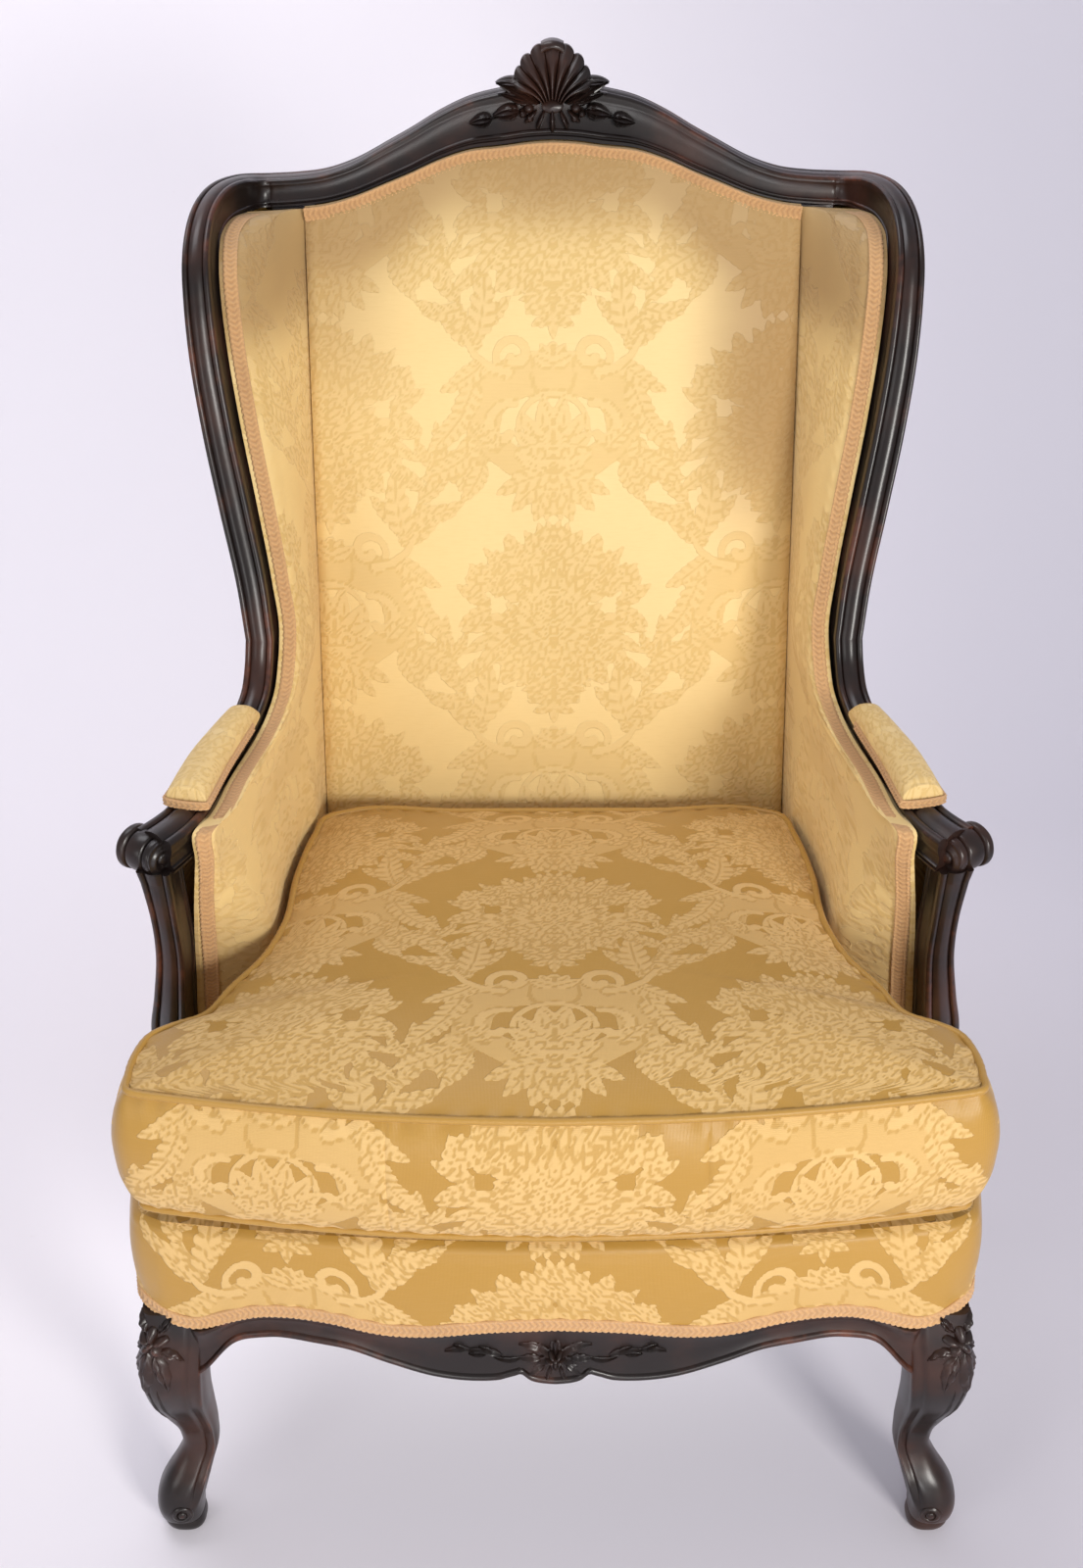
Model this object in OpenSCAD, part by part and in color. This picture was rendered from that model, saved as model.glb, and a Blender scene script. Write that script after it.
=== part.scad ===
// A winged bergere armchair: a show-wood frame with upholstered back, wings, arms and
// seat platform, and a loose T-shaped seat cushion with welts and a zipped cover.
// X is the width, Y the depth with the front towards -Y, and Z the height. The origin is
// on the floor under the middle of the chair. Left and right are the sitter's, so left is +X.

/* [Heights] */
// Floor to the top of the carved shell
chair_h = 1157; // [1120:1:1240]
// Height of the carved shell above the crest rail
shell_rise = 38; // [26:1:46]
// Rise of the crest rail from its ends to its middle
crest_rise = 78; // [50:1:84]
// Rise of the wings' tops above the ends of the crest rail
wing_rise = 6; // [0:1:14]
// Floor to the joint between wing and arm
joint_z = 685; // [670:1:720]
// Floor to the top of the arm rail
arm_z = 628; // [610:1:645]
// Floor to the top of the seat rails
rail_top = 345; // [325:1:355]
// Floor to the underside of the seat rails behind the shaped apron
rail_bottom = 252; // [235:1:255]
// Floor to the top edge of the show-wood at the front corners
show_z = 270; // [262:1:285]
// Thickness of the padded deck over the springs
deck_t = 26; // [16:1:34]
// Height of the cushion between its two welts
cushion_h = 117; // [80:1:130]
// Crown of the cushion above its top welt
cushion_crown = 29; // [10:1:40]

/* [Widths] */
// Width over the front legs and rails at the front corners
seat_w = 688; // [640:2:740]
// Greatest swell of the side rails beyond the front corners
side_swell = 7; // [0:1:16]
// Clear width between the two back posts
back_w = 444; // [400:2:470]
// Reach of the crest rail past the clear width at each end
crest_over = 43; // [40:1:56]
// From the clear width to the middle of the arm rail at the wing joint
arm_out = 46; // [40:1:53]
// From the side of the seat in to the middle of the hand grip
grip_in = 18; // [8:1:26]
// Flare of the wing's front edge from the arm joint out to its widest
wing_flare = 44; // [32:1:54]

/* [Depths] */
// Front corner of the seat to the face of the back posts at the top of the rails
seat_d = 498; // [480:1:540]
// Bow of the front rail in plan
front_bow = 28; // [10:1:34]
// Lean of the back frame from upright, in degrees
back_lean = 13.3; // [9:0.1:16]
// From the face of the back posts forward to the front edge of the wing at the arm joint
joint_ahead = 79; // [60:1:98]
// From the face of the back posts forward to the back of the cushion
cushion_ahead = 32; // [26:1:44]
// Front corner of the seat to the middle of the hand grip
grip_d = 178; // [165:1:195]
// Front corner of the seat to the foot of the arm support
support_d = 212; // [200:1:225]

/* [Show-wood] */
// Width of the moulded edge of the wing at its waist
mould_w = 26; // [22:1:30]
// Depth of the wing and arm frame behind that edge
mould_t = 38; // [32:1:42]
// Thickness of the crest rail
crest_t = 34; // [28:1:40]
// Height of the crest rail at its ends
crest_h = 24; // [22:1:36]
// Extra height of the crest rail in its middle
crest_swell = 21; // [0:1:24]
// Width of a back post
post_w = 40; // [34:1:44]
// Thickness of a back post
post_t = 28; // [24:1:30]
// Width and depth of the block at the top of a front leg
block_w = 50; // [44:1:56]
// Outward kick of the front feet
foot_kick = 17; // [8:1:20]
// Thickness of the shaped lip on the seat rails
lip_t = 18; // [14:1:20]
// Whole thickness of the seat rails
rail_t = 32; // [28:1:36]
// Backward sweep of the back legs at the floor
leg_sweep = 128; // [90:1:150]
// Radius of the rolled hand grip
grip_r = 18; // [15:1:20]
// Length of the roll across the grip
grip_w = 46; // [38:1:50]

/* [Upholstery] */
// Thickness of the padding where it meets the wood
edge_t = 9; // [6:1:12]
// Extra fullness in the middle of the back
back_belly = 15; // [4:1:20]
// Fullness of the inside arm and wing padding
side_full = 12; // [6:1:14]
// Thickness of the fabric
cloth_t = 1.6; // [1:0.1:2]
// Width of the gimp braid
gimp_w = 12; // [8:1:14]
// Thickness of the gimp braid
gimp_t = 2; // [1.5:0.1:2.4]
// Radius of the cushion welts
welt_r = 3.2; // [2.4:0.1:4]
// Swell of the cushion's boxing on the front and the ears
box_swell = 17; // [6:1:20]
// Fullness of the front border over the seat rails
border_full = 9; // [6:1:12]
// Thickness of the outside panels of wings, arms and back
panel_t = 4; // [3:0.5:5]
// Height of an arm pad above the arm rail
arm_pad_h = 22; // [14:1:28]

/* [Seat springs] */
// Diameter of a seat spring
spring_d = 76; // [50:1:84]
// Thickness of the spring wire
wire_d = 4; // [3:0.5:5]
// Turns in a seat spring
spring_turns = 4; // [3:1:5]
// Width of a webbing strap
web_w = 50; // [40:1:56]
// Thickness of a webbing strap
web_t = 1.6; // [1.2:0.1:2]

/* [Cushion zip] */
// Length of the zip
zip_l = 390; // [240:2:390]
// Width of the zip's tape
zip_w = 18; // [14:1:24]
// Length of the slider
slider_l = 9; // [7:1:12]

/* [Hidden] */

wood = [0.16, 0.10, 0.08];
bare_wood = [0.66, 0.52, 0.34];
fabric = [0.86, 0.70, 0.36];
pale_fabric = [0.90, 0.78, 0.48];
braid = [0.86, 0.66, 0.42];
jute = [0.62, 0.50, 0.33];
steel = [0.55, 0.56, 0.58];
foam = [0.95, 0.92, 0.80];
cambric = [0.20, 0.20, 0.20];
brass = [0.80, 0.65, 0.30];

gap = 0.3;       // clearance between soft pieces and what they lie on
overrun = 1;     // how far a cut runs past its faces

function mix(a, b, t) = a + (b - a) * t;
function unit(v) = v / norm(v);
function clamp(v, low, high) = max(low, min(high, v));
function ease(t) = t * t * (3 - 2 * t);

// Rings of points in order, joined by triangles and closed at both ends.
module loft(rings, closed = false) {
    n = len(rings[0]);
    m = len(rings);
    last = closed ? m - 1 : m - 2;
    sides = [for (j = [0:last], i = [0:n - 1]) let (
        k = (j + 1) % m, a = j * n + i, b = j * n + (i + 1) % n,
        c = k * n + (i + 1) % n, d = k * n + i) each [[a, c, b], [a, d, c]]];
    caps = closed ? [] : [[for (i = [0:n - 1]) i], [for (i = [n - 1:-1:0]) (m - 1) * n + i]];
    polyhedron(points = [for (r = rings) each r], faces = concat(caps, sides));
}

// A padded sheet between two grids of points with the same rows and columns.
module slab(near, far) {
    rows = len(near);
    cols = len(near[0]);
    n = rows * cols;
    skin = [for (j = [0:rows - 2], i = [0:cols - 2]) let (a = j * cols + i, b = a + 1,
        c = a + cols + 1, d = a + cols)
        each [[a, b, c], [a, c, d], [n + a, n + c, n + b], [n + a, n + d, n + c]]];
    ends = [for (i = [0:cols - 2]) let (a = i, b = i + 1, t = n - cols)
        each [[a, n + a, b], [b, n + a, n + b],
              [t + a, t + b, n + t + a], [t + b, n + t + b, n + t + a]]];
    edges = [for (j = [0:rows - 2]) let (a = j * cols, d = a + cols, b = a + cols - 1, c = d + cols - 1)
        each [[a, d, n + a], [d, n + d, n + a], [b, n + b, c], [c, n + b, n + c]]];
    polyhedron(points = concat([for (r = near) each r], [for (r = far) each r]),
        faces = concat(skin, ends, edges));
}

// The right-hand piece is the left-hand one seen in a mirror.
module right_hand() {
    mirror([1, 0, 0]) children();
}

// Depths are measured from the front corner of the seat, and this centres them.
module centred() {
    translate([0, -mid_d, 0]) children();
}

// Places that follow from the sizes above
crest_end_z = chair_h - shell_rise - crest_rise;
wing_top_z = crest_end_z + wing_rise;
crest_w = back_w + 2 * crest_over;
arm_x = back_w / 2 + arm_out;
grip_x = seat_w / 2 - grip_in;
wing_x = arm_x + wing_flare;
joint_d = seat_d - joint_ahead;

// Seat plan: the bowed front and the swelling sides
seat_half = seat_w / 2;
corner_d = 11;
function front_y(x) = corner_d - front_bow * (1 - pow(x / seat_half, 2));
post_x = back_w / 2 + post_w / 2;
side_shares = [[0, 0, 0], [0.12, 0, 0.8], [0.27, 0, 1], [0.48, 0, 1], [0.60, 0.17, 0.9],
    [0.72, 0.43, 0.7], [0.84, 0.71, 0.35], [1, 1, 0]];
function side_in(y) = lookup(y / seat_d, [for (s = side_shares) [s[0], s[1]]]);
function side_out(y) = lookup(y / seat_d, [for (s = side_shares) [s[0], s[2]]]);
function side_x(y) = mix(seat_half, post_x + post_w / 2, side_in(y)) + side_swell * side_out(y);

// Back frame: the front faces of the leaning posts
back_rake = tan(back_lean);
function back_y(z) = seat_d + back_rake * (z - rail_top);

// Top line of the show-wood across the front, as a rise and fall about its corner
show_wave = 15;
show_shares = [[0, 0.33], [0.17, 0.07], [0.31, -0.37], [0.40, -0.37], [0.54, 0.33], [0.63, 0.53],
    [0.72, 0.33], [0.80, -0.40], [0.86, -1], [1, 0]];
function show_line(x) = show_z + show_wave * lookup(abs(x) / seat_half, show_shares);

// Bottom line of the front rail: a cyma to each side of three low lobes
apron_drop = 62;
apron_shares = [[0, 0.98], [0.05, 0.95], [0.09, 0.85], [0.14, 0.93], [0.19, 0.95], [0.29, 0.89],
    [0.40, 0.68], [0.50, 0.46], [0.57, 0.39], [0.69, 0.34], [0.77, 0.50], [0.82, 0.76], [0.856, 1]];
function apron_line(x) = show_z - apron_drop * lookup(abs(x) / seat_half, apron_shares);

block_in = seat_half - block_w;
rebate = 8;         // step of the rails behind the show-wood, filled by the border
block_d = 58;       // depth of the block at the top of a front leg

// Moulding: a broad round edge with a bead at each side, a hollow face and a plain back
mould_shares = [[-0.5, 0.24], [-0.45, 0.08], [-0.24, 0], [0.24, 0], [0.45, 0.07], [0.5, 0.16],
    [0.42, 0.28], [0.42, 0.70], [0.5, 0.84], [0.5, 1], [-0.5, 1]];
function mould_ring(g, e1, e2, w, t) = [for (s = mould_shares) g + e1 * w * s[0] + e2 * t * s[1]];
// yaw turns the width from straight inwards to straight forwards, pitch turns the depth from
// straight back to straight down, and splay turns the depth inwards
function width_axis(a) = [-cos(a[0]), -sin(a[0]), 0];
function depth_axis(a) = [-sin(a[2]) * cos(a[1]), cos(a[2]) * cos(a[1]), -sin(a[1])];

// Crest rail
crest_half = crest_w / 2;
crest_rise_shares = [[0, 1], [0.10, 0.985], [0.19, 0.935], [0.29, 0.853], [0.39, 0.707], [0.50, 0.50],
    [0.57, 0.377], [0.70, 0.16], [0.80, 0.055], [0.90, 0.015], [1, 0]];
crest_swell_shares = [[0, 1], [0.17, 1], [0.28, 0.83], [0.45, 0.54], [0.57, 0.33], [0.70, 0.12],
    [0.80, 0.02], [1, 0]];
function crest_top(x) = crest_end_z + crest_rise * lookup(abs(x) / crest_half, crest_rise_shares);
function crest_bottom(x) =
    crest_top(x) - crest_h - crest_swell * lookup(abs(x) / crest_half, crest_swell_shares);
crest_lean = [0, -back_rake, -1];
function crest_ring(x) = let (z = crest_top(x))
    mould_ring([x, back_y(z) + crest_t / 2, z], [0, -1, 0], crest_lean, crest_t, z - crest_bottom(x));

// Wing frame, from the arm joint up, over the corner and back to the crest rail
wing_shares = [[0, 0, 0], [0.13, 0.06, 0.12], [0.43, 0.15, 0.30], [0.73, 0.235, 0.49],
    [0.93, 0.30, 0.68], [0.99, 0.34, 0.78], [1.02, 0.39, 0.865], [1.01, 0.48, 0.93],
    [0.94, 0.60, 0.975], [0.74, 0.75, 1], [0.42, 0.88, 1]];
wing_turns = [[0, 0, 10], [0, 0, 11], [0, 0, 13], [0, 0, 14], [0, 0, 14], [3, 8, 14], [6, 20, 14],
    [12, 42, 14], [20, 68, 12], [36, 84, 8], [62, 90, 0]];
wing_girth_shares = [[0.96, 1], [1, 1], [1.04, 1], [1.04, 1], [1, 1], [0.96, 1], [0.92, 0.98],
    [0.90, 0.93], [0.90, 0.88], [0.98, 0.84], [1.16, 0.80]];
crest_d = back_y(crest_end_z) + crest_t / 2;
function wing_spot(i) = let (s = wing_shares[i]) [mix(arm_x, wing_x, s[0]),
    mix(joint_d, crest_d, s[1]), mix(joint_z, wing_top_z, s[2])];
function wing_ring(i) = mould_ring(wing_spot(i), width_axis(wing_turns[i]), depth_axis(wing_turns[i]),
    mould_w * wing_girth_shares[i][0], mould_t * wing_girth_shares[i][1]);

// Arm rail, from the wing joint down and forward to the hand grip
arm_shares = [[0, 0, 0], [0.02, 0.04, 0.35], [0.05, 0.10, 0.63], [0.13, 0.18, 0.82],
    [0.21, 0.28, 0.92], [0.48, 0.56, 0.97], [0.66, 0.83, 1], [0.82, 0.925, 1], [1, 1, 1]];
arm_turns = [[0, 0, 10], [0, 20, 8], [0, 45, 6], [0, 68, 4], [4, 84, 0], [10, 90, 0], [14, 90, 0],
    [24, 90, 0], [36.87, 90, 0]];
arm_girth_shares = [[0.96, 1], [0.96, 1], [0.98, 0.97], [1, 0.90], [1, 0.79], [1.25, 0.71],
    [1.38, 0.71], [1.54, 0.74], [1.64, 0.79]];
function arm_spot(i) = let (s = arm_shares[i]) [mix(arm_x, grip_x, s[0]),
    mix(joint_d, grip_d, s[1]), mix(joint_z, arm_z, s[2])];
function arm_ring(i) = mould_ring(arm_spot(i), width_axis(arm_turns[i]), depth_axis(arm_turns[i]),
    mould_w * arm_girth_shares[i][0], mould_t * arm_girth_shares[i][1]);
grip_shares = [[-0.5, 0.66], [-0.44, 0.78], [0.42, 1.02], [0.5, 0.88]];   // station and radius of the roll
grip_sides = 22;
grip_yaw = arm_turns[8][0];
grip_drop = 1.5;              // how far the roll's top lies under the rail's
grip_z = arm_z - grip_r - grip_drop;

// Arm support, from the side rail up to the grip
neck_h = 12;                  // block under the grip that the support meets
support_waist = 7;           // how far the support draws in at its waist
support_sag = 8;              // how far it bellies forward
support_top = arm_z - 2 * grip_r - neck_h / 3;
support_shares = [[0, 0, 0], [0.27, -0.3, 0.2], [0.48, 0.5, 1], [0.70, 1, 1], [0.86, 0.7, 0.75], [1, 0, 0]];
support_girth_shares = [[1.15, 1.08], [1.27, 1.08], [1.08, 1.03], [0.92, 1], [0.88, 0.95], [1, 0.95]];
support_turn = [12, 0, 8];
support_foot_x = side_x(support_d) - mould_w / 2;
function support_spot(i) = let (s = support_shares[i]) [
    mix(support_foot_x, grip_x, s[0]) - support_waist * s[1],
    mix(support_d, grip_d - grip_r * 0.9, s[0]) - support_sag * s[2],
    mix(rail_top, support_top, s[0])];
function support_ring(i) = mould_ring(support_spot(i), width_axis(support_turn),
    depth_axis(support_turn), mould_w * support_girth_shares[i][0], mould_t * support_girth_shares[i][1]);

// Overall depth, for the origin
cushion_front = 22;           // how far the cushion's welt stands before the corner at the middle
front_reach = cushion_front + box_swell;
back_reach = back_y(crest_end_z + crest_rise) + crest_t;
mid_d = (back_reach - front_reach) / 2;

module crest_rail() {
    xs = [for (i = [-20:20]) crest_half * i / 20];
    color(wood) centred() {
        loft([for (x = xs) crest_ring(x)]);
        crest_shell();
    }
}

// A fan of ribs that stands on the crest rail and laps down over its face
shell_foot = 44;              // how far the fan starts below its top edge of the rail
shell_t = 22;                 // thickness of the fan
shell_lap = 9;                // how far its ribs stand before the rail's face
shell_arc = 62;
shell_edge_shares = [[0, 1], [9, 0.975], [18, 0.88], [29, 0.78], [41, 0.77], [50, 0.79], [62, 0.60]];
module crest_shell() {
    turns = [for (i = [-12:12]) shell_arc * i / 12];
    foot_z = crest_end_z + crest_rise - shell_foot;
    reach = shell_rise + shell_foot;
    full_shares = [[0.25, 0.5], [0.45, 0.8], [0.68, 1], [0.90, 0.8], [1, 0.35]];
    function rim(a) = reach * lookup(abs(a), shell_edge_shares);
    function rib(i) = i % 2 == 0 ? 1 : 0.55;
    function spot(a, s, fore) = let (x = rim(a) * s * sin(a), z = foot_z + rim(a) * s * cos(a))
        [x, back_y(z) + fore, z];
    slab([for (f = full_shares) [for (i = [0:24]) spot(turns[i], f[0], shell_t - shell_lap)]],
        [for (f = full_shares) [for (i = [0:24]) spot(turns[i], f[0], -shell_lap * f[1] * rib(i))]]);
}

module wing_frame_left() {
    color(wood) centred() loft(concat([crest_ring(crest_half)],
        [for (i = [len(wing_shares) - 1:-1:0]) wing_ring(i)]));
}

module wing_frame_right() {
    right_hand() wing_frame_left();
}

module arm_rail_left() {
    color(wood) centred() {
        loft([for (i = [0:8]) arm_ring(i)]);
        translate([grip_x, grip_d, grip_z]) rotate([0, 90, grip_yaw]) loft([for (s = grip_shares)
            [for (k = [0:grip_sides - 1]) let (a = 360 * (k + 0.3) / grip_sides, r = grip_r * s[1])
                [r * cos(a), r * sin(a), grip_w * s[0]]]]);
        translate([0, 0, support_top]) linear_extrude(neck_h)
            polygon([for (p = support_ring(5)) [p[0], p[1]]]);
    }
}

module arm_rail_right() {
    right_hand() arm_rail_left();
}

// The support laps over the outside of the side rail, down to its show-wood
module arm_support_left() {
    near = border_end + gap;
    far = support_d + mould_t * 0.8;
    heel = [for (y = [near, mix(near, far, 0.5), far]) [side_x(y), y]];
    color(wood) centred() {
        loft([for (i = [5:-1:0]) support_ring(i)]);
        translate([0, 0, show_z]) linear_extrude(rail_top - show_z + mould_w / 8)
            polygon(concat([for (p = heel) [p[0] - rebate + gap, p[1]]],
                [for (i = [2:-1:0]) [heel[i][0] - gap, heel[i][1]]]));
    }
}

module arm_support_right() {
    right_hand() arm_support_left();
}

// Back posts: straight and leaning above the rails, sweeping back as legs below them
post_leg_shares = [[0, 1], [0.12, 0.84], [0.30, 0.58], [0.55, 0.26], [0.80, 0.07], [1, 0]];
post_taper_shares = [[0, 0.72], [0.30, 0.80], [0.80, 1], [1, 1]];
post_flat = 3;                // chamfer along the corners of a post
function post_ring(y, w, t, z) = [for (s = [[-1, 0], [1, 0], [1, 1], [-1, 1]]) let (
    x = post_x + s[0] * w / 2, v = y + s[1] * t)
    each s[0] * (s[1] - 0.5) > 0
        ? [[x, v + (0.5 - s[1]) * 2 * post_flat, z], [x - s[0] * post_flat, v, z]]
        : [[x - s[0] * post_flat, v, z], [x, v + (0.5 - s[1]) * 2 * post_flat, z]]];
post_top = crest_bottom(crest_half) - gap;
module back_post_left() {
    legs = [for (s = post_leg_shares) let (k = lookup(s[0], post_taper_shares), z = rail_bottom * s[0])
        post_ring(back_y(rail_bottom) + leg_sweep * s[1], post_w * k, post_t * (0.6 + 0.4 * k), z)];
    rise = [for (z = [rail_top, post_top]) post_ring(back_y(z), post_w, post_t, z)];
    color(wood) centred() loft(concat(legs, rise));
}

module back_post_right() {
    right_hand() back_post_left();
}

// Front legs: a block, a knee, a slender ankle and a kicked-out foot. Each row gives the height
// as a share of the show-wood's, the outward kick, the width, the forward kick, the depth and
// the chamfer.
leg_shares = [[0, 0.29, 0.66, -0.71, 0.68, 0.4], [0.06, 0.5, 0.75, -0.53, 0.78, 0.4],
    [0.13, 0.735, 0.89, -0.24, 0.94, 0.4], [0.18, 0.59, 0.90, -0.47, 0.88, 0.4],
    [0.28, -0.38, 0.67, -1.35, 0.62, 0.42], [0.37, -1.035, 0.49, -1.71, 0.50, 0.45],
    [0.44, -1, 0.48, -1.35, 0.52, 0.45], [0.52, -0.38, 0.61, -0.35, 0.70, 0.38],
    [0.64, 0.41, 0.90, 0.59, 0.96, 0.28], [0.76, 0.47, 1.14, 0.82, 1.20, 0.18],
    [0.895, 0.18, 1.06, 0.53, 1.16, 0.12]];
leg_x = seat_half - block_w / 2;
leg_y = front_y(leg_x) + block_d / 2;
leg_front = leg_y - block_d / 2;
function leg_ring(x0, x1, y0, y1, cut, z) = let (c = cut * min(x1 - x0, y1 - y0) / 1.4) [
    [x1, y1 - c, z], [x1 - c, y1, z], [x0 + c, y1, z], [x0, y1 - c, z],
    [x0, y0 + c, z], [x0 + c, y0, z], [x1 - c, y0, z], [x1, y0 + c, z]];
corner_r = 22;                // rounding of the front corners of the border
corner_x = seat_half - corner_r;
show_places = [0, 0.08, 0.17, 0.24, 0.31, 0.40, 0.47, 0.54, 0.63, 0.72, 0.80, 0.86, corner_x / seat_half];
corner_y = corner_d + corner_r;
post_plan = concat([for (x = [block_in, mix(block_in, corner_x, 0.5), corner_x]) [x, front_y(x) + rebate]],
    [for (a = [30, 60, 90])
        [corner_x + (corner_r - rebate) * sin(a), corner_y - (corner_r - rebate) * cos(a)]],
    [[seat_half - rebate, leg_y + block_d / 2], [block_in, leg_y + block_d / 2]]);
module front_leg_left() {
    low = [for (s = leg_shares) let (x = seat_half + foot_kick * s[1], y = leg_front - foot_kick * s[3])
        leg_ring(x - block_w * s[2], x, y, y + block_w * s[4], s[5], show_z * s[0])];
    top = [for (p = leg_ring(block_in, seat_half, leg_front, leg_front + block_d, 0.08, 0))
        [p[0], p[1], show_line(block_in) + (show_z - show_line(block_in)) * (p[0] - block_in) / block_w]];
    color(wood) centred() {
        difference() {
            union() {
                loft(concat(low, [top]));
                translate([0, 0, show_z * 0.85]) linear_extrude(rail_top - show_z * 0.85)
                    polygon(post_plan);
            }
            block_bores(1) bore();
        }
    }
}

module front_leg_right() {
    right_hand() front_leg_left();
}

// Front rail: an L in section, with the shaped lip hanging before the straight inner part
bead = 4;                     // round along the lower edge of the lips
function rail_ring(x, low, top) = let (y = front_y(x)) [
    [x, y + rebate, rail_top], [x, y + rail_t, rail_top], [x, y + rail_t, rail_bottom],
    [x, y + lip_t, rail_bottom], [x, y + lip_t, low], [x, y + bead / 2, low], [x, y, low + bead],
    [x, y + bead / 2, low + 2 * bead], [x, y, top - bead], [x, y + bead / 2, top], [x, y + rebate, top]];
rail_places = [0, 0.05, 0.09, 0.14, 0.17, 0.19, 0.24, 0.29, 0.31, 0.35, 0.40, 0.45, 0.50, 0.54, 0.57,
    0.60, 0.63, 0.69, 0.72, 0.77, 0.80, 0.82];
module front_rail() {
    half = concat([for (s = rail_places) s * seat_half], [block_in]);
    n = len(half) - 1;
    xs = concat([for (i = [n:-1:0]) half[i]], [for (i = [1:n]) -half[i]]);
    color(wood) centred() loft([for (x = xs)
        rail_ring(x, min(apron_line(x), rail_bottom - gap), show_line(x))]);
}

// Side rails: the same section bent round the side of the seat, from leg to back post
side_drop_shares = [[0, 1], [0.08, 0.74], [0.2, 0.5], [0.38, 0.42], [0.55, 0.60], [0.72, 0.66],
    [0.86, 0.52], [1, 0.62]];
side_drop = 58;               // fall of the side rail's lip below the show-wood line
rail_front = leg_y + block_d / 2;
function side_low(y) =
    show_z - side_drop * lookup((y - rail_front) / (seat_d - rail_front), side_drop_shares);
function side_ring(y, lean) = let (low = side_low(y), x = side_x(y)) [for (p = [
    [x - bead / 2, low], [x, low + bead], [x - bead / 2, low + 2 * bead], [x, show_z - bead],
    [x - bead / 2, show_z], [x - rebate, show_z], [x - rebate, rail_top], [x - rail_t, rail_top],
    [x - rail_t, rail_bottom], [x - lip_t, rail_bottom], [x - lip_t, low]])
    [p[0], lean ? back_y(p[1]) : y, p[1]]];
side_end = back_y(side_low(seat_d)) - 3 * bead;
border_end = support_d - rebate;   // the front border stops before the arm supports
side_places = concat([for (k = [0:4]) mix(rail_front, border_end, k / 5)],
    [for (k = [0:9]) mix(border_end, side_end, k / 9)]);
module side_rail_left() {
    color(wood) centred() loft([for (r = concat([for (y = side_places) side_ring(y, false)],
        [side_ring(seat_d, true)])) [for (i = [10:-1:0]) r[i]]]);
}

module side_rail_right() {
    right_hand() side_rail_left();
}

// A board along X between the posts, leaning with them
module leaning_board(low, high, t) {
    translate([-back_w / 2, 0, 0]) rotate([90, 0, 90]) linear_extrude(back_w)
        polygon([[back_y(low), low], [back_y(low) + t, low],
            [back_y(high) + t, high], [back_y(high), high]]);
}

module back_seat_rail() {
    color(wood) centred() leaning_board(rail_bottom, rail_top, post_t);
}

tacking_h = 36;               // height of the rails that the linings are tacked to
module back_tacking_rail() {
    low = rail_top + deck_t + tacking_h;
    color(bare_wood) centred() leaning_board(low, low + tacking_h, post_t * 0.7);
}

stretcher_w = 20;
stretcher_h = 24;
stretcher_z = arm_z;
module arm_stretcher_left() {
    near = mix(joint_d, joint_d + mould_t, 0.74);
    low = stretcher_z;
    far = back_y(low) - gap;
    inner = arm_x - mould_w * 0.42;
    color(bare_wood) centred() translate([0, 0, low]) linear_extrude(stretcher_h)
        polygon([[inner, near], [inner + stretcher_w, near], [post_x + post_w / 2, far],
            [post_x + post_w / 2 - stretcher_w * 0.8, far]]);
}

module arm_stretcher_right() {
    right_hand() arm_stretcher_left();
}

module side_tacking_rail_left() {
    low = deck_top + side_clear;
    near = support_d + mould_t * 0.98;
    far = back_y(low) - gap;
    inner = side_x(near) - rail_t;
    color(bare_wood) centred() translate([0, 0, low]) linear_extrude(tacking_h)
        polygon([[inner, near], [inner + rail_t * 0.55, near], [post_x + post_w / 2 - overrun, far],
            [post_x + post_w * 0.05, far]]);
}

module side_tacking_rail_right() {
    right_hand() side_tacking_rail_left();
}

// Corner blocks and their screws
block_z = 284;
block_h = 40;
block_leg = 76;               // reach of a block along each rail
screw_d = 5;
screw_head = 9;
screw_l = 46;
module block_bores(side) {
    for (s = side == 0 ? [1, -1] : [side]) scale([s, 1, 1]) for (h = [0.28, 0.72])
        translate([block_in - block_leg * 0.30, rail_front + block_leg * 0.30, block_z + block_h * h])
            rotate([0, 90, -45]) children();
}
module bore() {
    translate([0, 0, -screw_l]) cylinder(d = screw_d + gap, h = 2 * screw_l, $fn = 24);
}
module corner_blocks() {
    inset = 2 * gap;
    front = [[block_in - block_leg, front_y(block_in - block_leg) + rail_t + inset],
        [block_in - gap, front_y(block_in) + rail_t + inset], [block_in - gap, rail_front + gap],
        [side_x(rail_front) - rail_t - inset, rail_front + gap],
        [side_x(rail_front + block_leg) - rail_t - inset, rail_front + block_leg]];
    rear_y = back_y(block_z) - gap;
    rear = [[post_x - post_w / 2 - block_leg * 0.8, rear_y], [post_x - post_w * 0.3, rear_y],
        [side_x(rear_y - block_leg) - rail_t * 1.3, rear_y - block_leg * 0.9]];
    color(bare_wood) centred() for (s = [1, -1]) scale([s, 1, 1]) {
        difference() {
            translate([0, 0, block_z]) linear_extrude(block_h) polygon(front);
            block_bores(1) bore();
        }
        translate([0, 0, block_z]) linear_extrude(block_h) polygon(rear);
    }
}

module block_screws() {
    color(steel) centred() block_bores(0) {
        translate([0, 0, -screw_l * 0.5]) cylinder(d = screw_d, h = screw_l, $fn = 24);
        translate([0, 0, -(screw_l + screw_d) * 0.5])
            cylinder(d = screw_head, h = screw_d * 0.5, $fn = 24);
    }
}

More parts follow.
